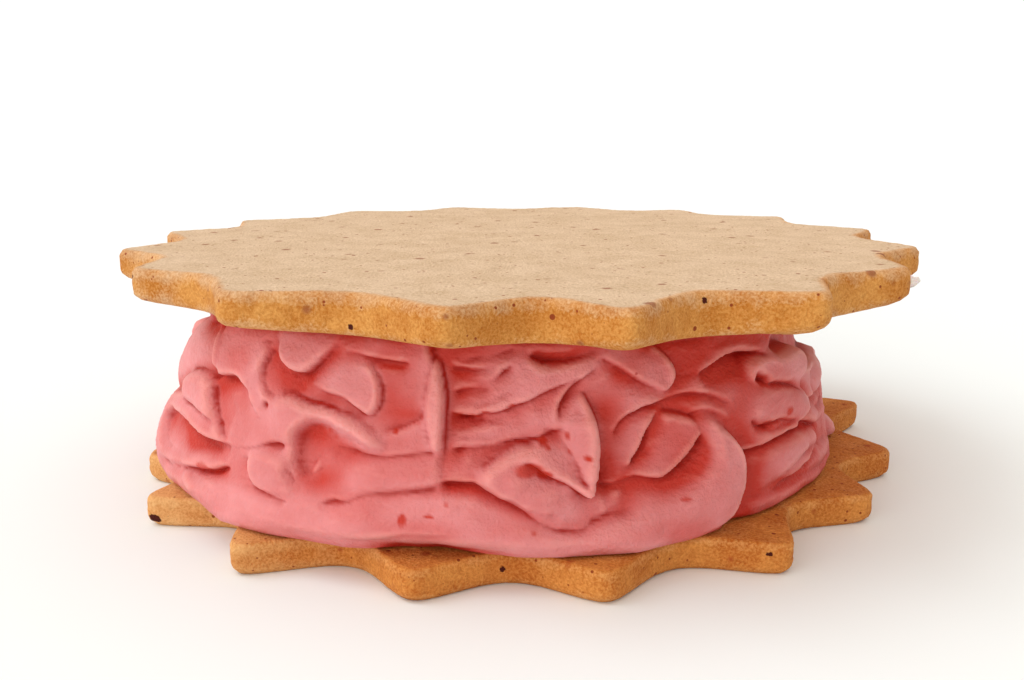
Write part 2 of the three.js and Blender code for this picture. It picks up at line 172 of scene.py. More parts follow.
def carried(degrees, z, level):
    """Carries a mark of the front from the drum, along the line of sight, onto the real side, where that
    stands out by level."""
    share = (z - COOKIE_THICKNESS) / FILLING_THICKNESS
    radius = DRUM_RADIUS - DRUM_TAPER * share - DRUM_NARROWING * share ** 3
    start = np.array([FILLING_CENTRE[0] + radius * math.cos(math.radians(degrees)),
                      FILLING_CENTRE[1] + radius * math.sin(math.radians(degrees)), z])
    ray = start - CAMERA_PLACE
    t = 1.0
    for _ in range(SIGHT_STEPS):
        spot = CAMERA_PLACE + ray * t
        flat = spot[:2] - FILLING_CENTRE
        out = np.hypot(*flat)
        here = math.degrees(math.atan2(flat[1], flat[0])) % 360
        slope = min(ray[:2] @ flat / out, GRAZING)
        t -= (out - plain_radius(here, spot[2]) - level) / slope
    return here, spot[2]


def fading(values, done, length, fade):
    """Lets values die away towards both ends of a line, over fade mm at each."""
    if fade[0]:
        values = values * smooth(done / fade[0])
    if fade[1]:
        values = values * smooth((length - done) / fade[1])
    return values


class Sheet:
    """The side as a grid of heights, and the ways to fold it. With carry on, marks come from the drum."""

    def __init__(self, degrees, z):
        self.x = degrees * MM_PER_DEGREE
        self.z = z
        self.h = np.zeros(z.shape)
        self.carry = False

    def marks(self, points, level):
        """Points of (degrees, z, and more values) in mm along the sheet."""
        out = []
        for degrees, z, *rest in points:
            if self.carry:
                degrees, z = carried(degrees, z, level)
            out.append((degrees * MM_PER_DEGREE, z, *rest))
        return out

    def near(self, line, reach):
        """The part of the sheet within reach mm round about a line, or None if there is none."""
        columns = np.flatnonzero((self.x[0] >= line[:, 0].min() - reach)
                                 & (self.x[0] <= line[:, 0].max() + reach))
        if len(columns) == 0:
            return None
        window = (slice(None), slice(columns[0], columns[-1] + 1))
        return window, self.x[window], self.z[window], self.h[window]

    @staticmethod
    def follow(x, z, line):
        """Distance to a line, on which side, how far along, and the values carried there."""
        best = np.full(x.shape, 1e9)
        side = np.zeros(x.shape)
        done = np.zeros(x.shape)
        values = np.zeros(x.shape + (line.shape[1] - 2,))
        steps = np.hypot(*np.diff(line[:, :2], axis=0).T)
        reached = np.concatenate([[0], np.cumsum(steps)])
        for i, step in enumerate(steps):
            if step < 1e-6:
                continue
            dx, dz = line[i + 1, :2] - line[i, :2]
            share = np.clip(((x - line[i, 0]) * dx + (z - line[i, 1]) * dz) / step ** 2, 0, 1)
            ex = x - line[i, 0] - share * dx
            ez = z - line[i, 1] - share * dz
            distance = np.hypot(ex, ez)
            closer = distance < best
            best = np.where(closer, distance, best)
            side = np.where(closer, np.sign(dx * ez - dz * ex), side)
            done = np.where(closer, reached[i] + share * step, done)
            value = line[i, 2:] + share[..., None] * (line[i + 1, 2:] - line[i, 2:])
            values = np.where(closer[..., None], value, values)
        return best, side, done, reached[-1], values

    def fold(self, path, left=0.0, right=0.0, edges=(0.6, 0.6), fade=(0, 0)):
        """A long fold: path of (degrees, z, half width, level)."""
        level = float(np.mean([p[3] for p in path]))
        line = curve_through(self.marks(path, level))
        found = self.near(line, line[:, 2].max() + 2)
        if found is None:
            return
        window, x, z, h = found
        distance, side, done, length, values = self.follow(x, z, line)
        half = np.maximum(values[..., 0], 1e-3)
        border = np.clip(distance / half, 0, 1) ** 2 * np.where(side > 0, left, right)
        cover = smooth(0.5 + (half - distance) / np.where(side > 0, *edges))
        self.h[window] = h + (values[..., 1] + border - h) * fading(cover, done, length, fade)

    def ridge(self, path, fade=(1.5, 1.5), skew=0.0):
        """A soft ridge, or with a negative height a crease: path of (degrees, z, half width, height)."""
        line = curve_through(self.marks(path, MARK_LEVEL))
        found = self.near(line, 3 * line[:, 2].max())
        if found is None:
            return
        window, x, z, h = found
        distance, side, done, length, values = self.follow(x, z, line)
        half = values[..., 0] * np.where(side > 0, 1 - skew, 1 + skew)
        rise = values[..., 1] * np.exp(-(distance / half) ** 2)
        self.h[window] = h + fading(rise, done, length, fade)

    def shelf(self, path, reach=1.5, rim=0.3, rim_reach=0.9, edge=0.32, fade=(1.2, 1.2)):
        """An edge that hangs over its neighbour: path of (degrees, z, drop). To the right of the path the skin
        falls by drop and climbs back within reach mm, and to the left it swells by rim times drop."""
        line = curve_through(self.marks(path, MARK_LEVEL))
        found = self.near(line, 3 * max(reach, rim_reach))
        if found is None:
            return
        window, x, z, h = found
        distance, side, done, length, values = self.follow(x, z, line)
        drop = fading(values[..., 0], done, length, fade)
        over = smooth(0.5 + side * distance / edge)
        swell = over * rim * np.exp(-(distance / rim_reach) ** 1.3)
        fall = (1 - over) * np.exp(-(distance / reach) ** 1.6)
        self.h[window] = h + drop * (swell - fall)

    def lobe(self, at, size, level, soft, crown=0.0):
        """A rounded lobe or hollow. soft is the width of its edges ahead, above, behind and below."""
        (middle_x, middle_z), = self.marks([at], level)
        window, x, z, h = self.near(np.array([[middle_x, middle_z]]), sum(size) + 4)
        along, across = x - middle_x, z - middle_z
        ratio = (np.abs(along / size[0]) ** LOBE_POWER + np.abs(across / size[1]) ** LOBE_POWER) ** (1 / LOBE_POWER)
        inside = np.hypot(along, across) * (1 / np.maximum(ratio, 1e-6) - 1)
        weight_along = (along / size[0]) ** 2
        weight_across = (across / size[1]) ** 2 + 1e-9
        soft = [max(width, 0.5) for width in soft]
        edge = (np.where(along > 0, soft[0], soft[2]) * weight_along
                + np.where(across > 0, soft[1], soft[3]) * weight_across) / (weight_along + weight_across)
        own = level + crown * (1 - np.minimum(ratio, 1.2) ** 2)
        self.h[window] = h + (own - h) * smooth(0.5 + inside / edge)

    def patch(self, outline, level=0.0, crown=0.0, body=1.5, tilt=(0, 0)):
        """A lobe or hollow of any outline, of (degrees, z, edge softness): flat, or crowned within body mm
        of its edge."""
        line = curve_through(self.marks(outline, level), closed=True, steps=6)
        line = np.vstack([line, line[:1]])
        found = self.near(line, 3)
        if found is None:
            return
        window, x, z, h = found
        distance, _, _, _, values = self.follow(x, z, line)
        crossings = np.zeros(x.shape, int)
        for (x0, z0), (x1, z1) in zip(line[:-1, :2], line[1:, :2]):
            if z0 == z1:
                continue
            crossings += ((z0 > z) != (z1 > z)) & (x < x0 + (z - z0) / (z1 - z0) * (x1 - x0))
        inside = np.where(crossings % 2 == 1, distance, -distance)
        centre = line[:-1, :2].mean(0)
        blend = np.maximum(values[..., 0] - 0.7, 0)
        swell = 1 - (1 - np.clip((inside + blend) / (body + blend), 0, 1)) ** 2
        own = level + crown * swell + tilt[0] * (x - centre[0]) + tilt[1] * (z - centre[1])
        self.h[window] = h + (own - h) * smooth(0.5 + inside / np.maximum(values[..., 0], 0.45))


# ---- folds of the hidden sides, the same as in the source ---------------------------------------------

HIDDEN_START = 347
HIDDEN_END = 516
HIDDEN_FOLDS = 40
ROW_STRIDE = 0.618


def hidden_folds(sheet, turns):
    for index in range(HIDDEN_FOLDS):
        start = HIDDEN_START + (HIDDEN_END - HIDDEN_START) * index / HIDDEN_FOLDS + 4 * uneven(index, 1)
        z = 5.5 + 18 * ((index * ROW_STRIDE) % 1)
        length = 16 + 14 * uneven(index, 2)
        rise = 5 * uneven(index, 3) - 2.5
        bend = 3 * uneven(index, 4) - 1.5
        half = 1.7 + 1.5 * uneven(index, 5)
        scoop = index % 3 == 1
        level = -0.9 if scoop else 0.9 + 0.9 * uneven(index, 6)
        path = [
            (start, z - rise, half * 0.5, level * 0.5),
            (start + length * 0.35, z + bend, half, level),
            (start + length * 0.75, z + rise * 0.5 + bend, half, level),
            (start + length, z + rise, half * 0.5, level * 0.6),
        ]
        left, right = (1.8, 1.3) if scoop else (-0.9, -0.4)
        for turn in turns:
            moved = [(degrees - turn, *rest) for degrees, *rest in path]
            sheet.fold(moved, left=left, right=right, edges=(0.6, 2), fade=(2, 2))


# ---- folds of the front -------------------------------------------------------------------------------

def left_folds(sheet):
    """The upper left lobe, which makes the outline on the left."""
    sheet.fold([(180, 15.5, 5, -2), (198, 16.8, 5.2, -0.7), (210, 19.4, 4.4, -0.1), (219, 21, 3.6, 0)],
               left=-1.8, right=-1.6, edges=(2, 0.8), fade=(4, 0))
    # its shoulder, drawn in to the neck under the cookie
    sheet.fold([(168, 20.6, 2.2, -1.4), (182, 21.7, 2.3, -2.6), (190, 22.7, 2.3, -3.4), (198, 24.0, 2.3, -3.4),
                (206, 25.4, 2.2, -2.8), (212, 26.8, 2.0, -1.8)], edges=(1, 1.0), fade=(4, 2))


def curl(sheet):
    """The big curl at the lower left."""
    sheet.fold([(180, 7, 3.2, -0.8), (198, 7.6, 3.7, 0), (206, 9.5, 4.4, 0.7), (214, 10.8, 4.4, 1.0),
                (221, 11.2, 3.6, 0.8), (228, 11.2, 2.4, 0.3)], left=-0.9, right=-0.5, edges=(0.6, 2), fade=(4, 4))


def apron(sheet):
    """The lowest tier, which runs along the front."""
    sheet.fold([(208, 4.6, 1.8, 0.2), (222, 5.4, 2.6, 0.9), (242, 5.4, 3.3, 1.3), (262, 7.2, 3.5, 1.2),
                (270, 6.3, 3.3, 1.4), (279, 4.9, 2.8, 1.9), (289, 4.9, 2.8, 2.2), (300, 5, 2.4, 1.4)],
               left=-1.0, right=-0.3, edges=(1.5, 1.5), fade=(3, 3))


def front_left_folds(sheet):
    patch, ridge, shelf = sheet.patch, sheet.ridge, sheet.shelf
    # upper left lobe and the thin crest beside the brow
    patch([(224.5, 25.8, 2), (224.6, 20.2, 1.5), (230, 20.1, 0.8), (232.5, 19.4, 2), (236, 23.5, 2.5), (236, 26, 2)],
          0.15, 0.2, 3, (0.03, -0.1))
    ridge([(220.6, 26.2, 0.5, 0.9), (221.2, 25.2, 0.5, 0.9), (223, 23.4, 0.5, 0.8), (223.8, 21.4, 0.5, 0.6),
           (223.2, 19.6, 0.45, 0.3)], fade=(0, 1))
    ridge([(217.5, 25.2, 1.2, -0.5), (219, 23.6, 1.0, -0.3)], fade=(0.5, 1))
    # small ball under the lobe
    patch([(215.4, 15.6, 1), (215.8, 17.8, 1), (218.2, 18.9, 0.8), (221.3, 19.2, 0.8), (223.2, 18.4, 1),
           (224.2, 16.6, 1), (224.8, 14.8, 1.5), (220, 15, 1)], 0.5, 0.5, 2)
    shelf([(216.5, 19.0, 0.3), (219.5, 19.4, 0.45), (222.6, 19.3, 0.3)], reach=0.8, rim=0.1)
    shelf([(228.8, 11.9, 0.2), (227.2, 12.4, 0.5), (226.1, 13.6, 0.7), (225.2, 15.2, 0.7), (224, 17, 0.7),
           (223.3, 18.6, 0.5)], reach=3.2, rim=0.5, rim_reach=1.2, edge=0.5)
    # brow over the cheek
    shelf([(223.7, 19.9, 0.4), (225.4, 19.5, 1.1), (228, 19.8, 1.2), (229.9, 19.9, 1.1), (231.4, 19.4, 0.9),
           (232.5, 18.3, 0.5), (234.1, 17.0, 0.35), (235.8, 16.0, 0.3)], reach=1.6, rim=0.15, rim_reach=1.5)
    ridge([(235.6, 17.9, 0.35, -0.6), (236.5, 17.2, 0.35, -0.5)], fade=(0.3, 0.3))
    ridge([(234.6, 18.6, 0.9, 0.3), (233.5, 17.4, 0.8, 0.25), (234.9, 15.6, 0.8, 0.2)], fade=(1, 1))
    ridge([(238.2, 16.3, 0.5, -0.2), (239.3, 15.4, 0.5, -0.25)], fade=(0.5, 0.5))
    ridge([(238.5, 16.6, 0.6, 0.2), (240, 16.1, 0.6, 0.2)], fade=(0.5, 0.5))
    # hollow of the curl, with its pale crescent above and on the left
    patch([(209.6, 8.2, 1.5), (209.2, 10.6, 1.3), (210.8, 12.6, 1.2), (214, 13.8, 1.2), (217.6, 13.4, 1),
           (221.6, 12.4, 0.8), (226, 12.1, 1.5), (228, 11.2, 3), (223, 9.6, 3), (217.5, 8.2, 2.5), (212.5, 7.4, 2)],
          -0.5, 0, 1.5, (0, -0.28))
    shelf([(212, 13.4, 0.2), (216, 13.5, 0.6), (218.6, 12.8, 1.0), (221.6, 12.2, 1.1), (224, 12.0, 1.0),
           (227.5, 12.0, 0.8), (230, 11.9, 0.4)], reach=2.2, rim=0.15, rim_reach=1.2, edge=0.5)
    shelf([(214.0, 15.4, 0.2), (217.5, 15.1, 0.5), (220.6, 14.9, 0.5), (223, 14.6, 0.2)], reach=0.7, rim=0.1)
    # red seam at the foot of the curl
    shelf([(213, 6.3, 0.2), (218.5, 7.3, 0.7), (221, 7.6, 1.1), (224, 8.1, 1.4), (225.6, 8.5, 1.3), (227, 9.0, 1.0),
           (229.8, 9.7, 0.3)], reach=0.9, rim=0.25, rim_reach=1.4, edge=0.32)
    ridge([(214.5, 6.0, 0.4, 0.3), (217, 5.6, 0.4, 0.35), (220.5, 4.9, 0.4, 0.3)], fade=(1, 1))


def front_middle_folds(sheet):
    patch, ridge, shelf, fold = sheet.patch, sheet.ridge, sheet.shelf, sheet.fold
    # low edge of the cheek, the narrow band under it and the pillow at its end
    shelf([(229, 12.0, 0.2), (231.5, 12.2, 0.25), (234, 12.7, 0.35), (236.3, 13.3, 0.6), (238.7, 13.8, 0.9),
           (240.6, 13.8, 0.8)], reach=1.1, rim=0.15, rim_reach=1.5)
    ridge([(230, 11.0, 0.8, 0.25), (235, 12.2, 0.7, 0.35), (238.5, 12.6, 0.7, 0.3)], fade=(2, 2))
    patch([(234, 12.0, 1.5), (234, 9.3, 0.8), (236, 8.2, 1.5), (240.3, 7.9, 2), (241.4, 9.8, 1.5), (240.8, 11.6, 1.5),
           (238.5, 12.4, 1.5)], 0.55, 0.1, 1.2, (-0.05, 0))
    shelf([(234.1, 12.2, 0.2), (233.9, 10.8, 0.4), (233.8, 9.2, 0.35)], reach=1.5, rim=0.6, rim_reach=0.7)
    shelf([(233.9, 8.6, 0.2), (236, 8.2, 0.35), (238.5, 7.9, 0.4), (241.5, 7.6, 0.3)], reach=0.9, rim=0.2)
    shelf([(241.9, 9.5, 0.5), (241.2, 10.3, 0.7), (240.4, 11.6, 0.4)][::-1], reach=0.6, rim=0, fade=(0.6, 0.6))
    # hollow left of the ball, with its bright rim
    shelf([(238.5, 18.0, 0.2), (236.9, 18.3, 0.4), (235.4, 19.0, 0.6), (234.5, 20.2, 0.7), (234.4, 21.5, 0.8),
           (235.1, 22.9, 0.9), (236.1, 24.0, 0.8)], reach=5.5, rim=0.3, rim_reach=0.5)
    ridge([(236.6, 18.2, 0.3, 0.2), (235.1, 19.0, 0.3, 0.3), (234.2, 20.2, 0.3, 0.3), (234.1, 21.5, 0.3, 0.3),
           (234.8, 22.9, 0.3, 0.3), (235.8, 24.0, 0.3, 0.3)], fade=(1, 0.5))
    patch([(236.5, 23.8, 1), (235.8, 22, 1.5), (235.6, 20.4, 1.5), (237.5, 19.2, 1.5), (241, 19.4, 1.2),
           (243, 20.4, 1.2), (241.5, 21.5, 1), (239, 21.8, 0.8), (237.4, 23, 0.8)], -0.55, 0, 1.5, (0.03, -0.05))
    shelf([(233.0, 24.3, 0.3), (235, 24.3, 0.6), (236.5, 24.0, 0.6)], reach=0.8, rim=0.1)
    # sheet that runs from the hollow down to the scoop
    patch([(238, 18.2, 2), (242, 18.4, 1), (247, 18, 1), (251, 17.2, 1), (254.6, 15, 1.2), (250, 15.5, 2),
           (244, 15.5, 2), (240.6, 14.2, 1.5), (238.6, 15.2, 3)], 0.5, 0.1, 1.5, (0.02, 0))
    shelf([(251.5, 17.2, 0.2), (249, 17.7, 0.4), (246.4, 18.1, 0.6), (243.6, 18.4, 0.6), (240.2, 18.9, 0.6),
           (237.8, 18.5, 0.3)], reach=1.4, rim=0.3, rim_reach=0.8)
    # half moon
    patch([(242.8, 21.3, 2.5), (244.5, 23.0, 2), (247.5, 24.3, 1), (250.3, 24.1, 0.5), (252.9, 22.7, 0.45),
           (254.2, 20.7, 0.45), (254.1, 19.3, 0.45), (253.0, 18.3, 0.5), (251.2, 18.8, 0.5), (248.9, 19.6, 0.5),
           (246.2, 19.9, 0.6), (243.6, 20.3, 1.5)], 0.1, 0, 1.2, (0.07, -0.03))
    shelf([(250.5, 18.7, 0.15), (252.8, 18.2, 0.3), (253.9, 19.3, 0.4), (254.0, 20.7, 0.45), (253.6, 21.8, 0.4),
           (252.7, 22.7, 0.35), (251.4, 23.6, 0.2)], reach=4.0, rim=0.1, rim_reach=0.5, edge=0.28)
    shelf([(242.8, 20.6, 0.2), (246.2, 19.9, 0.5), (248.9, 19.6, 0.45), (251.3, 18.7, 0.4), (253, 18.3, 0.2)],
          reach=1.8, rim=0.1)
    ridge([(252.6, 18.7, 0.25, 0.15), (253.5, 19.4, 0.25, 0.22), (253.6, 20.8, 0.25, 0.25),
           (253.2, 21.8, 0.25, 0.2), (252.3, 22.7, 0.25, 0.15), (251.0, 23.6, 0.25, 0.1)], fade=(0.6, 0.6))
    # ball under the cookie
    patch([(236.8, 25.6, 0.6), (237.4, 23.4, 0.5), (239.3, 21.9, 0.5), (241.8, 21.7, 0.5), (243.2, 22.2, 0.5),
           (245.6, 24, 0.8), (247.8, 25.9, 1.5), (247, 27.5, 1), (238, 27.5, 1)], 0.35, 0.3, 2.5, (0, -0.06))
    shelf([(237.2, 25.4, 0.2), (237.6, 23.2, 0.6), (239.6, 21.9, 1.1), (241.8, 21.6, 1.4), (243.2, 22.1, 1.0),
           (245.6, 23.9, 0.6), (247.6, 25.4, 0.3)], reach=1.3, rim=0.1)
    # groove over the half moon and the panel
    shelf([(247.5, 24.4, 0.2), (250.5, 24.2, 0.5), (253.3, 23.8, 1.0), (256.0, 23.6, 1.3), (258.4, 23.6, 0.6)],
          reach=0.7, rim=0.15, rim_reach=1.5)
    # round scoop with a raised rim
    patch([(242.4, 11.0, 2), (242.2, 13.4, 2), (243.0, 15.6, 2), (246, 16.8, 2), (250, 16.0, 3), (253, 13.8, 4),
           (251, 11.0, 4), (246.5, 9.6, 3)], -0.75, 0, 2, (0.08, 0.03))
    shelf([(246.2, 9.0, 0.1), (244.4, 9.3, 0.3), (242.6, 9.7, 0.5), (241.6, 10.9, 0.7),
           (241.3, 13.2, 0.75), (241.8, 15.2, 0.8), (242.9, 16.5, 0.85), (244.4, 17.2, 0.85), (246.6, 17.4, 0.7),
           (250, 17.0, 0.5), (253.3, 15.6, 0.25)], reach=4.0, rim=0.7, rim_reach=0.8, edge=2.6)
    ridge([(247, 17.0, 0.9, 0.4), (250, 16.7, 1.0, 0.5), (253.3, 15.4, 0.9, 0.45), (255, 14.7, 0.7, 0.3)],
          fade=(1.5, 1.5))
    ridge([(243.5, 10.6, 0.3, 0.25), (244.6, 11.5, 0.3, 0.35), (245.2, 12.7, 0.3, 0.2)], fade=(0.5, 0.5))
    ridge([(242.0, 10.2, 0.28, 0.2), (241.0, 11.2, 0.28, 0.35), (240.8, 13.2, 0.28, 0.38),
           (241.2, 15.2, 0.28, 0.35), (242.4, 16.6, 0.28, 0.3), (244.1, 17.4, 0.28, 0.2)], fade=(0.5, 1))
    ridge([(245.2, 15.6, 0.25, 0.12), (246.8, 15.6, 0.25, 0.15), (248.0, 15.1, 0.25, 0.1)], fade=(0.5, 0.5))
    # band between the scoop and the lip, and the fold below it
    fold([(247.5, 10.0, 1.1, 0.0), (251, 11.5, 1.7, 0.4), (256, 12.4, 1.8, 0.7), (263, 13.2, 1.6, 0.4)],
         left=-0.25, right=-0.2, edges=(1.6, 1.2), fade=(6, 1))
    shelf([(247, 14.3, 0.2), (250.6, 14.2, 0.5), (254.5, 14.0, 0.7), (257, 14.3, 0.7), (260.5, 14.7, 0.7),
           (263.8, 15.0, 0.8), (266, 15.2, 0.6)], reach=1.3, rim=0.15, rim_reach=1.5)
    shelf([(245.2, 8.0, 0.2), (247.9, 8.7, 0.8), (249.8, 8.9, 0.6), (252.6, 9.9, 0.25), (255.5, 10.3, 0.2),
           (258.4, 10.7, 0.25), (262.6, 11.4, 0.6)], reach=1.1, rim=0.2)
    shelf([(261.0, 18.6, 0.3), (260.0, 18.0, 0.45), (258.1, 17.1, 0.5), (256.2, 16.5, 0.5), (254, 16.0, 0.2)],
          reach=1.0, rim=0.3, rim_reach=1.2)
    # recess right of the lip, and the upright lip
    patch([(260.9, 27.0, 1.0), (261.2, 24.2, 0.6), (262.5, 22.6, 0.4), (263.0, 20.5, 0.4), (262.9, 17.5, 0.4),
           (262.6, 15.0, 0.6), (264.5, 15.0, 3), (266, 18, 5), (268, 21, 5), (268, 26.5, 4)],
          -0.8, 0, 1, (0.12, 0))
    fold([(261.2, 24.0, 0.15, -0.1), (261.4, 22.6, 0.6, 0.6), (261.5, 20.4, 0.95, 1.0), (261.5, 18.2, 0.9, 0.95),
          (261.8, 15.6, 0.6, 0.5), (262.1, 13.4, 0.5, 0.2)], left=0.2, right=-0.6, edges=(0.35, 1.2), fade=(0.4, 2.5))
    # lower thin tier
    shelf([(249, 5.0, 0.1), (253.5, 5.3, 0.35), (258.1, 6.2, 0.45), (261.5, 6.3, 0.35), (264.5, 6.5, 0.1)],
          reach=1.4, rim=0.2)


def peak_folds(sheet):
    patch, ridge, shelf = sheet.patch, sheet.ridge, sheet.shelf
    # slanting folds that rise to the right
    shelf([(262.8, 23.3, 0.9), (265, 23.1, 1.1), (267, 23.1, 0.7), (270, 23.6, 0.3)], reach=1.0, rim=0.2)
    shelf([(267, 23.8, 0.2), (269.5, 24.6, 0.35), (272.5, 25.4, 0.2)], reach=0.8, rim=0.3)
    shelf([(266.5, 21.8, 0.2), (269, 22.0, 0.5), (270.3, 22.9, 0.9), (271.9, 24.0, 0.6)], reach=1.4, rim=0.2)
    shelf([(263.2, 20.6, 0.7), (265, 21.0, 0.9), (267.3, 21.2, 0.6), (269.5, 21.3, 0.2)], reach=0.9, rim=0.2)
    shelf([(263.2, 18.9, 0.6), (264.6, 18.5, 1.3), (266.6, 18.4, 1.4), (268, 18.8, 0.9), (269.8, 18.9, 0.8),
           (271.5, 19.5, 1.0), (273.7, 20.1, 0.8), (275.6, 20.8, 0.8), (278.2, 21.6, 0.7), (281, 22.5, 0.4)],
          reach=1.2, rim=0.2, rim_reach=1.2, edge=0.3)
    ridge([(264.4, 18.2, 0.3, -0.6), (266.8, 18.2, 0.3, -0.6)], fade=(0.4, 0.4))
    ridge([(270, 21, 1.6, 0.3), (274, 22.2, 1.6, 0.5), (277.5, 23.0, 1.2, 0.4)], fade=(3, 2))
    ridge([(272, 18.4, 1.6, 0.35), (275.5, 19.4, 1.4, 0.45)], fade=(3, 2))
    ridge([(264.5, 17.8, 0.5, -0.1), (269.5, 17.8, 0.4, -0.2), (273, 18.2, 0.4, -0.1)], fade=(2, 2))
    shelf([(263.5, 15.1, 0.8), (268, 15.4, 0.6), (270.5, 15.8, 0.6), (273, 16.1, 0.9), (274.8, 16.3, 1.1),
           (276.5, 16.8, 0.6), (279, 17.6, 0.2)], reach=0.9, rim=0.15, edge=0.3)
    for index in range(13):
        start, low = 263.2 + 1.6 * uneven(index, 21), 15.4 + 0.72 * index
        run = 6 + 5 * uneven(index, 22)
        depth = -0.12 - 0.16 * uneven(index, 23)
        ridge([(start, low, 0.22, depth), (start + run * 0.4, low + 0.1 * run * uneven(index, 24), 0.3, depth),
               (start + run, low + 0.22 * run, 0.25, depth)], fade=(0.8, 2.5))
    # slot under the cookie, with the pale dome below it
    shelf([(284, 24.4, 0.2), (281.5, 24.0, 0.6), (279, 23.5, 1.4), (277, 23.4, 1.8), (275.6, 23.5, 1.8),
           (274.4, 23.9, 1.4), (273.3, 24.7, 0.5)], reach=0.9, rim=0.25, rim_reach=1.0)
    shelf([(274, 24.9, 0.3), (277, 24.7, 0.4), (281, 24.8, 0.2)], reach=0.5, rim=0.1)
    # low lobe with a small mouth, and the rim round the mouth
    patch([(267.6, 12.2, 2), (269.5, 14, 1.5), (272.5, 15.3, 1.5), (277, 15.4, 3), (279, 12.6, 2), (281, 10.8, 1),
           (285.5, 10.6, 2), (285.5, 8.6, 2), (282, 7.4, 0.8), (279, 6.8, 0.6), (276.5, 7.1, 0.6), (274.2, 8.2, 0.8),
           (271.8, 9.7, 1), (269.5, 10.5, 1)], 0.85, 0.5, 2.5)
    shelf([(275.5, 16.0, 0.2), (273.6, 15.6, 0.4), (272, 15.1, 0.5), (270, 14.2, 0.55), (268.6, 13.4, 0.5),
           (267.2, 12.4, 0.2)], reach=1.6, rim=0.3, rim_reach=1.2)
    shelf([(272.2, 13.6, 0.3), (273.4, 14.1, 0.8), (274.6, 13.7, 1.3), (275.6, 13.0, 1.7), (276.4, 12.6, 1.5),
           (277.5, 12.2, 0.9), (278.8, 11.8, 0.5)], reach=1.0, rim=0.1, rim_reach=1.2, edge=0.5)
    ridge([(272.0, 13.6, 0.7, 0.3), (272.0, 12.0, 0.8, 0.35), (273, 10.9, 0.7, 0.2)], fade=(1, 1))
    shelf([(261.8, 11.4, 0.5), (263.3, 11.7, 1.3), (265, 11.7, 1.5), (267, 11.6, 1.2), (268.6, 10.9, 0.7),
           (270.3, 10.1, 0.5), (272.3, 9.3, 0.6), (273.5, 8.6, 0.6), (275.3, 7.6, 0.6), (277, 7.0, 0.8),
           (278.5, 6.8, 0.9), (280.3, 6.8, 0.8), (282, 7.4, 0.5), (284.5, 8.2, 0.2)], reach=0.9, rim=0.15,
          rim_reach=1.2)
    shelf([(272.6, 9.4, 0.3), (275, 8.9, 0.3), (278, 8.6, 0.1)], reach=0.8, rim=0.2)
    # tongue that hangs from the peak
    ridge([(280.4, 19.4, 1.3, 0.5), (280.8, 16.6, 2.0, 0.9), (280.9, 13.8, 1.6, 0.9), (281.0, 11.8, 0.9, 0.6)],
          fade=(2, 0.5), skew=-0.2)
    ridge([(277.0, 17.6, 1.0, -0.3), (276.8, 15.4, 1.0, -0.4), (277.6, 13.4, 0.8, -0.3)], fade=(1, 1))
    shelf([(277.0, 12.5, 0.2), (278.6, 11.8, 0.6), (280.2, 10.8, 1.2), (281.1, 10.4, 1.6), (281.8, 11, 1.5),
           (282.1, 12.5, 1.2), (282.4, 14.5, 1.0), (282.3, 16.5, 1.0), (281.8, 18.5, 0.9), (280.5, 20.8, 0.4)],
          reach=3.5, rim=1.1, rim_reach=2.8, edge=0.5, fade=(1.2, 0.8))
    shelf([(282.1, 11.0, 0.5), (282.3, 12.5, 0.4), (282.6, 14.5, 0.2)], reach=1.2, rim=0, fade=(0.4, 1))
    ridge([(280.6, 20.6, 0.4, 0.3), (281.1, 19.0, 0.6, 0.4), (281.4, 16.5, 0.7, 0.45), (281.2, 14, 0.6, 0.4),
           (281.1, 12, 0.5, 0.4), (281.1, 10.9, 0.4, 0.3)], fade=(0.6, 0.4))
    # bright rim that rises to the peak, with the little hollow behind it
    shelf([(277.5, 17.4, 0.2), (277.4, 18.8, 0.6), (277.9, 19.9, 0.9), (279, 21.0, 0.9), (281, 22.2, 0.6),
           (283.4, 23.4, 0.4)], reach=2.0, rim=0.6, rim_reach=0.7)
    # right face of the peak and the pointed flap
    shelf([(283.3, 24.4, 0.3), (284.6, 23.7, 0.6), (286.3, 22.9, 0.8), (288.2, 21.9, 0.8), (289.8, 21.1, 0.7),
           (292.2, 20.4, 0.3)], reach=1.2, rim=0.25, rim_reach=1.6)
    shelf([(290.5, 20.6, 0.2), (292.6, 20.2, 0.5), (294.0, 21.0, 0.9), (294.3, 22.3, 1.0), (293.4, 23.5, 0.8),
           (291.8, 24.6, 0.6), (290.5, 25.4, 0.4)], reach=2.8, rim=0.35, rim_reach=0.9)
    ridge([(292.5, 23.6, 0.6, 0.2), (293.4, 22.2, 0.5, 0.3), (293, 21, 0.5, 0.25)], fade=(0.6, 0.6))


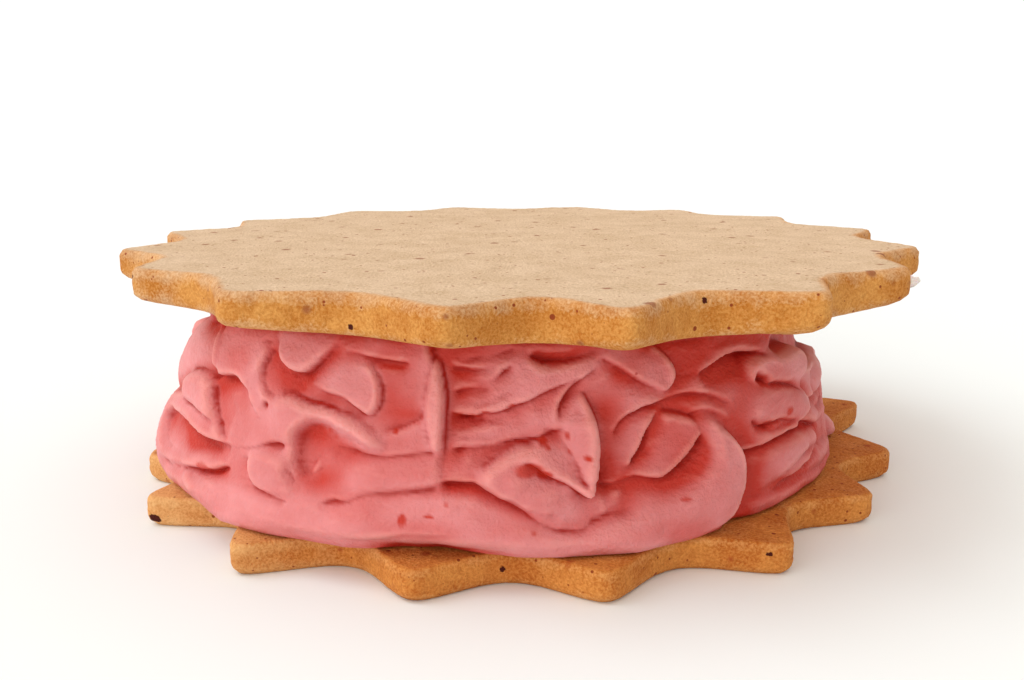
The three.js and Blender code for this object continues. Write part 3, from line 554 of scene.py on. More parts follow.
def right_folds(sheet):
    patch, ridge, shelf, fold = sheet.patch, sheet.ridge, sheet.shelf, sheet.fold
    # dark hollow under the cookie
    shelf([(289, 25.4, 0.3), (292, 25.2, 0.8), (297, 25.1, 0.8), (301, 25.1, 0.5)], reach=0.8, rim=0)
    shelf([(297.5, 21.2, 0.2), (300, 21.9, 1.2), (302.9, 22.7, 1.9), (306, 23.0, 2.2), (309, 22.7, 1.7),
           (312, 22.2, 0.4)], reach=2.2, rim=0.15, rim_reach=1.5)
    # long folds that end as fingers
    fold([(304.5, 14.4, 1.7, 0.4), (309, 13.8, 1.2, 0.6), (315, 14.0, 0.9, 0.7), (320, 14.0, 0.9, 0.4),
          (324, 13.6, 0.7, 0.3)], left=-0.2, right=-0.3, edges=(1, 0.5), fade=(2, 1))
    fold([(305, 9.6, 3.0, 0.4), (312, 10.3, 2.1, 0.7), (318, 11.0, 1.3, 0.6), (323, 11.0, 1.0, 0.5)],
         left=-0.3, right=-0.4, edges=(0.8, 1), fade=(3, 1))
    shelf([(304.2, 11.8, 0.9), (306.6, 12.2, 1.3), (310.7, 12.7, 1.4), (313.8, 12.9, 1.4), (316.2, 13.0, 1.4),
           (317.8, 13.5, 1.4), (320.2, 13.3, 1.3), (322.3, 12.7, 1.0), (324.4, 12.0, 0.4)], reach=0.8, rim=0.25,
          edge=0.3)
    ridge([(308, 12.4, 0.3, -0.4), (313.8, 13.0, 0.3, -0.6), (320, 12.6, 0.3, -0.5)], fade=(2, 1))
    shelf([(311, 6.4, 0.2), (314.2, 7.2, 0.5), (316.4, 7.7, 0.9), (318.4, 8.1, 1.1), (320.2, 8.4, 1.1),
           (321.8, 9.0, 0.9), (323.4, 9.5, 0.4)], reach=0.9, rim=0.2, rim_reach=1.2, edge=0.3)
    ridge([(311, 8.4, 0.7, 0.3), (315, 9.6, 0.6, 0.3), (320, 10.4, 0.6, 0.3)], fade=(2, 1))
    # lobes on the right, one of them round a pit
    patch([(306.8, 20.6, 1), (308.1, 21.9, 1), (311.5, 22.2, 1.5), (315, 22.0, 1.5), (319.6, 22.0, 0.6),
           (321.0, 20.9, 0.5), (320.4, 19.2, 0.5), (318, 18.6, 1), (314, 18.9, 1), (310.5, 19.2, 0.8),
           (308, 19.3, 0.8)], 0.5, 0.5, 2)
    ridge([(307.7, 20.4, 0.45, -1.2), (309.0, 19.8, 0.5, -1.8), (310.4, 19.3, 0.45, -1.1)], fade=(0.4, 0.6))
    ridge([(307.2, 21.0, 0.4, 0.25), (308.6, 21.9, 0.4, 0.35), (311.2, 21.8, 0.4, 0.3), (313.6, 20.7, 0.4, 0.15)],
          fade=(0.5, 0.8))
    shelf([(309.6, 19.2, 0.6), (311.8, 19.2, 1.0), (314.7, 18.6, 1.1), (317, 17.9, 0.9), (318.6, 17.0, 0.5)],
          reach=0.9, rim=0.2, edge=0.32)
    patch([(306.2, 16.4, 2), (307.5, 18.4, 2), (311.5, 18.8, 1.2), (316, 18.0, 0.8), (318.8, 16.9, 0.5),
           (319.6, 15.6, 0.5), (318.9, 14.4, 0.5), (315, 14.3, 0.6), (311.5, 14.8, 0.8), (308.4, 15.3, 1)],
          0.5, 0.7, 2.5)
    shelf([(315.8, 14.0, 0.4), (318.4, 14.2, 1.0), (319.7, 15.5, 1.3), (319.2, 16.9, 1.1), (317.8, 17.8, 0.4)],
          reach=1.2, rim=0.3, rim_reach=0.6, edge=0.32)
    shelf([(306.2, 16.2, 0.2), (307.6, 15.0, 1.0), (309.4, 14.8, 1.4), (311.5, 15.1, 0.9), (315, 14.4, 0.7),
           (316.8, 14.2, 0.4)], reach=0.8, rim=0.15, edge=0.32)
    ridge([(308.6, 14.6, 0.4, -0.5), (310, 14.7, 0.4, -0.5)], fade=(0.4, 0.4))
    shelf([(309, 13.9, 0.3), (312.5, 14.2, 0.6), (315.5, 13.9, 0.4)], reach=0.6, rim=0.2)
    # big leaf: outer layers, cup and body
    shelf([(284.5, 15.4, 0.3), (285.5, 17.0, 0.7), (286.7, 17.9, 1.0), (288, 18.4, 1.2), (289.3, 18.8, 1.4),
           (290.7, 18.9, 1.2), (292.3, 19.1, 0.7), (294.3, 19.4, 0.8), (296, 19.6, 1.1), (298, 19.5, 0.9),
           (300.8, 18.8, 0.6), (303.5, 17.6, 0.3)], reach=0.8, rim=0.2, rim_reach=1.5, edge=0.32)
    shelf([(295.5, 16.7, 0.4), (296.7, 17.5, 0.6), (298.5, 17.8, 0.5), (300.6, 17.1, 0.4), (302.8, 15.9, 0.2)],
          reach=0.8, rim=0.3)
    patch([(299.3, 16.2, 2), (301.9, 14.8, 0.8), (303.5, 13.1, 0.6), (304.4, 11.2, 0.6), (304.6, 9.4, 0.6),
           (304.0, 7.2, 0.6), (302, 5.1, 0.6), (298, 4, 1), (293, 3.5, 2), (289, 6, 5), (289, 8.5, 5),
           (292, 9.2, 4), (294.8, 10.3, 4), (297.5, 12.2, 4), (299.0, 14.4, 3)], 1.0, 0.6, 4, (0.03, 0))
    shelf([(300.4, 4.3, 0.3), (302.2, 5.3, 0.7), (303.8, 7.2, 1.1), (304.6, 9.5, 1.4), (304.6, 10.5, 1.4),
           (304.2, 11.6, 1.4), (303.9, 12.3, 1.2), (303, 13.4, 0.9), (301.8, 14.7, 0.5), (300.5, 15.6, 0.2)],
          reach=2.8, rim=0.25, rim_reach=0.8)
    ridge([(303.6, 7.6, 0.3, 0.15), (304.2, 9.5, 0.3, 0.25), (303.8, 11.4, 0.3, 0.25), (302.7, 13.2, 0.3, 0.25),
           (301.3, 14.6, 0.3, 0.2)], fade=(1, 1))
    shelf([(285.5, 13.0, 0.2), (286.9, 12.8, 0.6), (288.3, 14.7, 1.0), (289.6, 16.5, 0.9), (291.0, 17.8, 0.6),
           (292.2, 18.3, 0.2)], reach=1.4, rim=0.4, rim_reach=0.6, edge=0.32)
    ridge([(287.0, 13.0, 0.35, -0.5), (288.6, 14.0, 0.4, -0.7), (289.4, 15.3, 0.3, -0.6), (289.8, 16.6, 0.3, -0.4)],
          fade=(0.4, 0.6))
    ridge([(288.8, 13.6, 0.4, -0.4), (290.4, 14.0, 0.4, -0.3)], fade=(0.4, 0.6))
    ridge([(290.6, 15.8, 0.25, -0.15), (292.5, 16.4, 0.25, -0.2), (294.4, 16.8, 0.25, -0.1)], fade=(0.5, 0.8))
    ridge([(291.5, 14.9, 0.25, -0.12), (293.5, 15.4, 0.25, -0.15), (295.4, 15.9, 0.25, -0.1)], fade=(0.5, 0.8))
    shelf([(297.4, 16.3, 0.3), (296.0, 17.0, 0.9), (294.0, 17.5, 1.1), (292.4, 17.7, 0.9), (291.2, 17.5, 0.4)],
          reach=0.9, rim=0.3, rim_reach=1.2)
    shelf([(282.0, 10.7, 0.7), (283.2, 11.0, 0.9), (284.4, 11.0, 0.8), (286.4, 11.3, 0.5), (287.9, 11.6, 0.7),
           (289.4, 11.4, 0.8), (291.2, 11.2, 1.0), (292.2, 11.5, 1.3), (293.7, 12.3, 1.8), (294.9, 13.2, 2.2),
           (295.9, 14.0, 2.1), (297, 15.0, 1.4), (298, 15.6, 0.4)], reach=1.8, rim=0.35, rim_reach=0.7, edge=0.32)
    for across, high in ((0.0, 0), (0.9, 0.7), (1.7, 1.5), (2.4, 2.3)):
        ridge([(294.2 + across, 12.2 + high, 0.25, -0.2), (296.2 + across, 11.4 + high, 0.3, -0.25),
               (298.0 + across, 11.0 + high, 0.25, -0.15)], fade=(0.5, 1.2))


def right_outline_folds(sheet):
    """Folds round the right-hand outline, which run out of sight behind it."""
    # the neck under the cookie
    for turn in (0, 360):
        sheet.lobe((362 - turn, 17.2), (10, 3.2), level=-1.8, soft=(3, 2, 3, 2))
        sheet.lobe((345 - turn, 21.3), (22, 3.9), level=-2.5, soft=(3, 1, 3, 0.6))
    # the ear below it
    sheet.lobe((339, 15.4), (7, 2.0), level=-0.3, crown=0.9, soft=(0.8, 0.5, 0.8, 0.5))
    # the bulge, two finger tips and the low lobe
    sheet.fold([(320, 13.6, 0.9, -0.3), (330, 13.0, 1.0, -0.2), (338, 12.4, 1.0, -0.1), (346, 11.9, 1.0, -0.5)],
               left=-0.9, right=-0.7, edges=(0.5, 0.4), fade=(1, 2))
    sheet.fold([(320, 12.0, 0.7, 0.1), (328, 11.5, 0.8, 0.2), (335, 11.0, 0.8, 0.3), (341, 10.6, 0.6, 0.3)],
               left=-0.5, right=-0.7, edges=(0.35, 0.35), fade=(1, 0.8))
    sheet.fold([(314, 8.2, 1.3, 0.2), (322, 7.4, 1.3, 0.4), (330, 6.8, 1.2, 0.5), (338, 6.3, 1.0, 0.5)],
               left=-0.6, right=-0.6, edges=(0.4, 0.4), fade=(1, 0.8))
    sheet.fold([(306, 5.2, 1.2, 0.2), (314, 4.9, 1.1, 0.3), (322, 4.7, 1.0, 0.4), (329, 4.7, 0.9, 0.4)],
               left=-0.7, right=-0.5, edges=(0.4, 0.8), fade=(1, 0.8))


# where the foot of the ice cream meets the lower cookie: (degrees, distance from its middle)
FOOT_LINE = [
    (190, 48.3), (205, 48.0), (217, 47.8), (223, 48.1), (231, 49.4), (238, 49.0), (244, 48.2), (250, 48.2),
    (253, 47.8), (257, 46.3), (262, 45.7), (267, 46.7), (272, 47.8), (277, 48.4), (282, 48.5), (287, 48.8),
    (293, 48.0), (299, 47.3), (305, 46.0), (309, 46.4), (315, 46.1), (323, 45.8), (327, 46.0), (345, 45.8),
]
FOOT_LINE_SPAN = dict(start=186, rise=10, end=350, fall=12)
FOOT_LINE_OUT = 0.35  # how far the skin stands out from the foot line before its foot is tucked in
FOOT_LINE_FLAT = 0.4  # the line holds fully up to this height, and no more FOOT_LINE_HEIGHT above that
FOOT_LINE_HEIGHT = 2.2

SWAY = 0.35  # slow swells of the plain side
SWAYS_ROUND = 3
SWAY_START = 20
SWAY_HEIGHT = 3.4


def draw_in_foot(sheet):
    """Brings the lowest part of the sheet to the foot line."""
    turns, distances = np.array(FOOT_LINE).T
    degrees = sheet.x / MM_PER_DEGREE
    wanted = np.interp(degrees, turns, distances) + FOOT_LINE_OUT - plain_radius(degrees, sheet.z)
    low = smooth(1 - (sheet.z - COOKIE_THICKNESS - FOOT_LINE_FLAT) / FOOT_LINE_HEIGHT)
    sheet.h += (wanted - sheet.h) * low * between(degrees, **FOOT_LINE_SPAN)


def lay_folds(degrees, z):
    """All the folds, from the large ones to the small: how far the skin stands out at each place."""
    sheet = Sheet(degrees, z)
    sheet.h += SWAY * np.sin(np.radians(SWAYS_ROUND * degrees + SWAY_START)) * np.sin(z / SWAY_HEIGHT)
    hidden_folds(sheet, (0, 360))
    left_folds(sheet)
    curl(sheet)
    right_outline_folds(sheet)
    apron(sheet)
    draw_in_foot(sheet)
    sheet.carry = True
    front_left_folds(sheet)
    front_middle_folds(sheet)
    peak_folds(sheet)
    right_folds(sheet)
    return sheet.h


# ---- modelling helpers --------------------------------------------------------------------------------

def drum(name, columns, rows, middle, radius, bottom, top, rings_below, rings_above):
    """A closed drum from a cylinder: its side cut into rows, and each end drawn in to its middle in rings.
    Returns it with each point's place on the drum: across from -1 to 1 and up from 0 to 1."""
    middle = (np.array([*middle, 0.0]) + SHIFT) * MM
    radius, bottom, top = radius * MM, bottom * MM, top * MM
    height = top - bottom
    bpy.ops.object.select_all(action="DESELECT")
    bpy.ops.mesh.primitive_cylinder_add(vertices=columns, radius=radius, depth=height, end_fill_type="NOTHING",
                                        location=(middle[0], middle[1], (bottom + top) / 2))
    piece = bpy.context.object
    piece.name = name
    piece.data.name = name
    bpy.ops.object.transform_apply(location=True, rotation=True, scale=True)
    bpy.ops.object.mode_set(mode="EDIT")
    bpy.ops.mesh.select_all(action="DESELECT")
    bpy.ops.object.mode_set(mode="OBJECT")
    mesh = piece.data
    for edge in mesh.edges:
        a, b = (mesh.vertices[i].co for i in edge.vertices)
        edge.select = abs(a.z - b.z) > height / 2
    bpy.context.tool_settings.mesh_select_mode = (False, True, False)
    bpy.ops.object.mode_set(mode="EDIT")
    bpy.ops.mesh.subdivide(number_cuts=rows - 1)
    for level, rings in ((bottom, rings_below), (top, rings_above)):
        bpy.ops.mesh.select_all(action="DESELECT")
        bpy.ops.object.mode_set(mode="OBJECT")
        for edge in mesh.edges:
            a, b = (mesh.vertices[i].co for i in edge.vertices)
            edge.select = abs(a.z - level) < height * 1e-3 and abs(b.z - level) < height * 1e-3
        bpy.ops.object.mode_set(mode="EDIT")
        inner = 1.0
        for ring in rings:
            bpy.ops.mesh.extrude_edges_move()
            bpy.ops.transform.resize(value=(ring / inner, ring / inner, 1),
                                     center_override=(middle[0], middle[1], level))
            inner = ring
        bpy.ops.mesh.edge_face_add()
        bpy.ops.mesh.poke()
    bpy.ops.mesh.select_all(action="SELECT")
    bpy.ops.mesh.normals_make_consistent(inside=False)
    bpy.ops.object.mode_set(mode="OBJECT")
    bpy.ops.object.shade_smooth()
    return piece, (points_of(piece) - [middle[0], middle[1], bottom]) / [radius, radius, height]


def points_of(piece):
    """The points of a piece in metres in the part's frame."""
    co = np.zeros(len(piece.data.vertices) * 3)
    piece.data.vertices.foreach_get("co", co)
    return co.reshape(-1, 3)


def move_points(piece, points_mm):
    """Sets the points, given in mm about the bottom cookie's middle, in the part's frame."""
    co = (points_mm + SHIFT) * MM
    piece.data.vertices.foreach_set("co", co.ravel())
    piece.data.update()


def paint(piece, name, values):
    """Gives each point a value that the piece's material reads by name."""
    layer = piece.data.attributes.new(name, "FLOAT", "POINT")
    layer.data.foreach_set("value", np.asarray(values, np.float32))


# ---- ice cream ----------------------------------------------------------------------------------------

COLUMNS = 860
ROWS = 104
CAP_RINGS = (0.97, 0.6)
BACK_SPACING = 1.8  # how much wider the columns stand apart at the back than at the front
BACK_FROM = 72  # degrees from the front where they start to widen, over BACK_WIDENING degrees
BACK_WIDENING = 40
NECK_RADIUS = 41  # about where the ice cream meets the upper cookie
FOOT = COOKIE_THICKNESS + CONTACT
FOOT_TUCK = 1.0
FOOT_HEIGHT = 1.1
HEAD_TUCK = 0.8
HEAD_HEIGHT = 1.5
UNDERCUT = 0.03  # how far a steep edge leans out over what is below it
STEEPEST = 2.5

SKIN_SOFTENING = 0.15
RIB_LENGTH, RIB_HEIGHT, RIB_DEPTH = 3.2, 0.8, 0.08  # fine ribs that run round the side
SWELL_SHAPE, SWELL_DEPTH = (0.55, 0.55, 0.18), 0.16  # slower swells, as shares of how quickly the ribs follow

# painted shade in the creases, where the skin is painted red: the depth at which that begins, and over how much more
# it becomes full
FINE_CREASE, FINE_CREASE_FULL = 0.035, 0.15
BROAD_CREASE, BROAD_CREASE_FULL = 0.2, 0.6
CREST, CREST_FULL = 0.05, 0.22  # the same for an edge that stands out, which is painted pale as a highlight
# painted shade: how much redder the skin is painted in wide hollows, everywhere, under the cookie (more so in the
# middle) and on the right-hand side
HOLLOW_FULL = 0.75
PLAIN_SHADE = 0.08
UNDER_COOKIE_SHADE, UNDER_COOKIE_REACH = 0.85, 5.0
MIDDLE_SHADE, MIDDLE_SPAN = 0.25, dict(start=246, rise=10, end=350, fall=20)
RIGHT_SHADE, RIGHT_SPAN = 0.62, dict(start=284, rise=14, end=356, fall=20)

# fruit pieces that show in the skin: (degrees, z, half width, half height, strength)
FRUIT_LEVEL = 0.6
FRUIT_BITS = [
    (264.6, 18.3, 0.6, 0.25, 0.9), (266.6, 18.3, 0.5, 0.2, 0.9), (268.2, 18.8, 0.4, 0.12, 0.8),
    (271.5, 19.5, 0.4, 0.15, 0.8), (273.7, 13.4, 1.4, 0.7, 0.7), (275.5, 12.8, 0.8, 0.5, 0.8),
    (275.5, 15.9, 0.5, 0.3, 0.8), (276.1, 15.4, 0.3, 0.3, 0.7), (280.8, 14.5, 0.35, 0.3, 0.9),
    (278.6, 16.5, 0.15, 0.5, 0.7), (278.8, 14.9, 0.18, 0.2, 0.6), (313.8, 15.6, 0.8, 0.45, 0.9),
    (309.2, 14.9, 0.8, 0.25, 0.8), (257.8, 7.7, 0.4, 0.6, 0.8), (261.2, 8.3, 0.5, 0.15, 0.9),
    (221.6, 7.9, 1.2, 0.5, 0.6), (223.5, 7.8, 0.6, 0.3, 0.7), (263.3, 9.5, 0.25, 0.2, 0.5),
    (274.2, 6.8, 0.25, 0.25, 0.5), (294.2, 8.8, 0.6, 0.22, 0.7), (256.3, 16.5, 0.3, 0.2, 0.8),
    (246.6, 15.8, 0.35, 0.3, 0.4), (247.5, 15.2, 0.3, 0.25, 0.4),
]

# patches of painted shade, added where the skin is to look darker and taken away where it is to look lighter:
# (degrees, z, half width, half height, strength)
PAINTED_SHADE_PATCHES = [
    (257.3, 20.8, 3.8, 5.0, 0.32), (257.0, 17.2, 2.5, 1.2, -0.3), (245.5, 14.6, 3.2, 2.6, 0.2),
    (240.0, 20.4, 3.5, 1.6, 0.3), (232.0, 15.5, 4.0, 3.2, 0.2), (271.0, 16.5, 6.0, 3.0, -0.45),
    (266.5, 20.5, 4.0, 3.5, 0.15), (242.8, 12.3, 3.4, 2.6, -0.6), (281.6, 20.1, 3.0, 2.0, -0.3),
    (281.3, 8.7, 3.0, 1.8, -0.4), (279.5, 15.0, 3.0, 3.0, -0.25), (300.0, 23.5, 9.0, 3.0, 0.35),
    (291.0, 16.0, 4.5, 3.0, 0.2), (308.0, 9.5, 5.0, 3.0, 0.25), (296.0, 13.0, 3.0, 2.5, 0.2),
    (286.0, 20.5, 4.0, 3.0, 0.15), (245.0, 25.0, 14.0, 2.5, 0.2), (220.0, 24.5, 7.5, 2.8, 0.3),
    (262.5, 12.0, 3.0, 2.0, 0.15), (300.0, 20.0, 9.0, 6.0, 0.12), (224.5, 13.5, 2.5, 2.5, 0.25),
    (251.5, 11.2, 6.0, 2.2, 0.2), (257.5, 13.3, 6.0, 1.7, 0.3), (247.6, 14.2, 3.2, 2.6, -0.25),
    (238.6, 20.8, 3.0, 1.8, -0.2), (251.0, 8.4, 4.0, 1.5, 0.3), (260.0, 6.7, 4.5, 1.5, 0.4),
    (273.0, 7.8, 4.0, 1.5, 0.25), (291.5, 6.1, 4.0, 1.3, 0.35), (286.5, 22.6, 3.0, 1.7, 0.45),
    (284.8, 18.7, 2.2, 2.4, 0.3), (311.8, 18.0, 5.0, 4.5, 0.35), (219.5, 11.6, 2.5, 2.5, 0.5),
    (230.4, 22.0, 3.2, 2.2, 0.4),
]


def blurred(h, x_step, z_step, size):
    """Softens a sheet by about size mm. The columns join round."""
    for axis, step in ((1, x_step), (0, z_step)):
        reach = int(3 * size / step + 1)
        kernel = np.exp(-0.5 * (np.arange(-reach, reach + 1) * step / size) ** 2)
        kernel /= kernel.sum()
        if axis == 1:
            padded = np.concatenate([h[:, -reach:], h, h[:, :reach]], 1)
        else:
            padded = np.concatenate([np.repeat(h[:1], reach, 0), h, np.repeat(h[-1:], reach, 0)], 0)
        h = np.apply_along_axis(lambda row: np.convolve(row, kernel, "valid"), axis, padded)
    return h


def turns_of_columns():
    """Where the columns stand, in turns from the front."""
    even = np.linspace(-0.5, 0.5, 7201)
    reached = np.cumsum(1 / (1 + BACK_SPACING * smooth((np.abs(even) * 360 - BACK_FROM) / BACK_WIDENING)))
    reached = (reached - reached[0]) / (reached[-1] - reached[0]) - 0.5
    return np.interp(np.arange(COLUMNS) / COLUMNS - 0.5, reached, even)


def roughened(h, angle, z):
    """The sheet with fine ribs and slower swells."""
    ribbed = np.stack([FILLING_RADIUS * np.cos(angle)[None, :] / RIB_LENGTH + 0 * z,
                       FILLING_RADIUS * np.sin(angle)[None, :] / RIB_LENGTH + 0 * z,
                       z / RIB_HEIGHT], -1).reshape(-1, 3)
    h = h + RIB_DEPTH * soft_noise(ribbed, size=1.0, seed=2.0, octaves=4).reshape(z.shape)
    return h + SWELL_DEPTH * soft_noise(ribbed * SWELL_SHAPE, size=1.0, seed=6.0, octaves=2).reshape(z.shape)


def leaning(h, x_step, z_step, from_ends):
    """How far each place shifts, round the side and upwards, so that steep edges lean out."""
    around = np.concatenate([h[:, -1:], h, h[:, :1]], 1)
    slope_x = (around[:, 2:] - around[:, :-2]) / (2 * x_step)[None, :]
    slope_z = np.gradient(h, axis=0) / z_step
    steep = np.hypot(slope_x, slope_z)
    lean = UNDERCUT * steep / (1 + 0.25 * steep)
    shift_x = -lean * slope_x / np.maximum(steep, 1e-6) * np.minimum(steep, STEEPEST)
    shift_z = -lean * slope_z / np.maximum(steep, 1e-6) * np.minimum(steep, STEEPEST)
    return shift_x * smooth(from_ends / 0.5), shift_z * smooth(from_ends / 1.0)


def spots(marks, level, theta, z):
    """How far each place lies from each mark, in half sizes of the mark, with the mark's strength."""
    for mark_degrees, mark_z, half_width, half_height, strength in marks:
        mark_degrees, mark_z = carried(mark_degrees, mark_z, level)
        yield np.hypot((theta - mark_degrees) * MM_PER_DEGREE / half_width, (z - mark_z) / half_height), strength


def skin_tints(h, x_step, z_step, theta, z, highest):
    """What the ice cream's material has to know of each place, from 0 to 1: painted shade in creases, a painted
    highlight on edges, painted shade in hollows, under the cookie and on the right, and fruit.
    """
    fine, soft, broad, wide = (blurred(h, x_step, z_step, size) for size in (0.3, 0.5, 0.8, 3.0))
    # painted shade: creases that lie deeper than the skin round them
    crease = np.clip(np.maximum((broad - h - BROAD_CREASE) / BROAD_CREASE_FULL,
                                (fine - h - FINE_CREASE) / FINE_CREASE_FULL), 0, 1)
    # painted highlight: edges that stand out from the skin round them
    crest = np.clip((h - soft - CREST) / CREST_FULL, 0, 1)
    # painted shade: the skin is painted redder in wide hollows, close under the cookie and on the right-hand side,
    # where shade falls
    under_cookie = smooth(1 - (highest[None, :] - z) / UNDER_COOKIE_REACH)
    under_cookie = (UNDER_COOKIE_SHADE + MIDDLE_SHADE * between(theta, **MIDDLE_SPAN)) * under_cookie
    right = RIGHT_SHADE * between(theta, **RIGHT_SPAN)
    shade = np.clip(PLAIN_SHADE + (wide - soft) / HOLLOW_FULL + under_cookie + right, 0, 1)
    # patches of painted shade laid over the painted shade above
    for away, strength in spots(PAINTED_SHADE_PATCHES, 0.0, theta, z):
        shade = shade + strength * smooth(1.3 - away)
    fruit = np.zeros(z.shape)
    for away, strength in spots(FRUIT_BITS, FRUIT_LEVEL, theta, z):
        fruit = np.maximum(fruit, min(1.15 * strength, 1) * smooth((1.35 - away) / 0.6))
    return {"crease": crease, "crest": crest, "shade": np.clip(shade, 0, 1), "fruit": fruit}


def skin_of_ice_cream():
    """The side as a grid of points, rows from foot to head, with its tints."""
    turns = turns_of_columns()
    degrees = 270 + 360 * turns  # 90 to 450
    degrees = np.where(degrees >= 360, degrees - 360, degrees)
    order = np.argsort(degrees)
    angle = np.radians(degrees)
    highest = head_height(FILLING_CENTRE[0] + NECK_RADIUS * np.cos(angle),
                          FILLING_CENTRE[1] + NECK_RADIUS * np.sin(angle))
    share = (np.arange(ROWS + 1) / ROWS)[:, None]
    z = FOOT + share * (highest - FOOT)[None, :]
    theta = np.broadcast_to(degrees, z.shape)
    h = np.zeros(z.shape)
    h[:, order] = lay_folds(theta[:, order], z[:, order])

    x_step = np.gradient(np.unwrap(np.radians(270 + 360 * turns)) * SKIN_RADIUS)
    front_step = float(x_step[COLUMNS // 2])
    height = (highest - FOOT).mean()
    z_step = float(height / ROWS)
    h = roughened(blurred(h, front_step, z_step, SKIN_SOFTENING), angle, z)
    shift_x, shift_z = leaning(h, x_step, z_step, np.minimum(share, 1 - share) * height)

    foot = FOOT_TUCK * quarter_round(1 - (z - FOOT) / FOOT_HEIGHT)
    head = HEAD_TUCK * smooth(1 - (highest[None, :] - z) / HEAD_HEIGHT)
    radius = plain_radius(theta, z) + h - foot - head
    turned = angle[None, :] + shift_x / SKIN_RADIUS
    z = z + shift_z
    grid = np.stack([FILLING_CENTRE[0] + radius * np.cos(turned),
                     FILLING_CENTRE[1] + radius * np.sin(turned), z], -1)
    return grid, skin_tints(h, front_step, z_step, theta, z, highest)


def shape_ice_cream():
    piece, co = drum("strawberry_ice_cream", COLUMNS, ROWS, FILLING_CENTRE, FILLING_RADIUS, COOKIE_THICKNESS,
                     COOKIE_THICKNESS + FILLING_THICKNESS, CAP_RINGS, CAP_RINGS)
    turn = np.arctan2(co[:, 1], co[:, 0]) / (2 * math.pi)  # from -0.5 to 0.5
    from_front = (turn - 0.75 + 0.5) % 1 - 0.5
    column = (np.rint(from_front * COLUMNS).astype(int) + COLUMNS // 2) % COLUMNS
    row = np.rint(co[:, 2] * ROWS).astype(int)
    side = np.hypot(co[:, 0], co[:, 1]) > 0.99
    cap = ~side

    grid, tints = skin_of_ice_cream()
    points = np.zeros(co.shape)
    points[side] = grid[row[side], column[side]]
    inner = np.hypot(co[cap, 0], co[cap, 1])[:, None]
    rim = grid[np.where(row[cap] > 0, ROWS, 0), column[cap]]
    middle = np.array([*FILLING_CENTRE, 0])
    points[cap] = middle + (rim - middle) * inner
    points[cap, 2] = np.where(row[cap] == 0, FOOT, head_height(*points[cap, :2].T))
    move_points(piece, points)
    for name, tint in tints.items():
        values = np.zeros(len(co))
        values[side] = tint[row[side], column[side]]
        paint(piece, name, values)
    return piece


# ---- cookies --------------------------------------------------------------------------------------------

COOKIE_COLUMNS = 1024
SIDE_ROWS = 12
UNDERSIDE_INSET = 3.0
UNDERSIDE_RINGS = (0.992, 0.97, 0.94, 0.88, 0.7, 0.4)
FACE_RINGS = (*(1 - np.linspace(0.004, 0.03, 6)), *(1 - np.linspace(0.045, 0.3, 12)), *np.linspace(0.65, 0.06, 12))
# how far the rounded rims reach up or down, and how far in, as shares of their size
UPPER_RIM_TALL, UPPER_RIM_WIDE = 0.62, 0.30
LOWER_RIM_TALL, LOWER_RIM_WIDE = 0.5, 0.55
UPPER_RIM_FROM, LOWER_RIM_TO = 0.8, 0.35  # where on the side wall the rims begin and end, as shares of its height
TIP_LOWER_RIM = 0.3  # how much larger the lower rim is at a tip

DOUGH_WAVE, DOUGH_WAVE_SIZE = 0.12, 9.0
DOUGH_GRAIN, DOUGH_GRAIN_SIZE = 0.10, 0.9
DOUGH_LIMIT = 0.06  # how far the dough may swell out of its mean surface
DOUGH_INSET = 0.07  # how far that surface lies inside the nominal outline

SIDE_PALER_ABOVE, SIDE_PALER_BELOW = 0.30, 0.20  # how much paler the side is at its upper and lower rim
RIM_BROWNED, RIM_BROWNED_REACH = 0.68, 2.4  # browning of the face at its rim, which fades inwards
UNDERSIDE_BROWNED = 0.8
PATCHY_BROWNED = 0.16
PALE_FROM, PALE_OVER = 8, 34  # mm to the left of the middle where a cookie gets paler, and over how many


def outline_of(cookie):
    """The star outline as (turn in degrees, radius, drop), drop being 0 at a tip and 1 between two."""
    def soft(u):
        return math.hypot(u, TIP_SOFTNESS) - TIP_SOFTNESS

    pitch = 360 / TEETH
    rows = []
    for tooth in range(TEETH):
        following = (tooth + 1) % TEETH
        start = tooth * pitch + cookie["turns"][tooth]
        end = (tooth + 1) * pitch + cookie["turns"][following]
        for step in np.linspace(0, 1, 48, endpoint=False):
            drop = math.sin(math.pi / 2 * soft(1 - abs(2 * step - 1)) / soft(1))
            reach = cookie["reach"][tooth] + (cookie["reach"][following] - cookie["reach"][tooth]) * step
            tip = cookie["tip"] + reach
            rows.append((cookie["first"] + start + (end - start) * step, tip + (cookie["valley"] - tip) * drop,
                         drop))
    rows = np.array(rows)
    return np.vstack([rows[-1:] - [360, 0, 0], rows, rows[:2] + [360, 0, 0]])


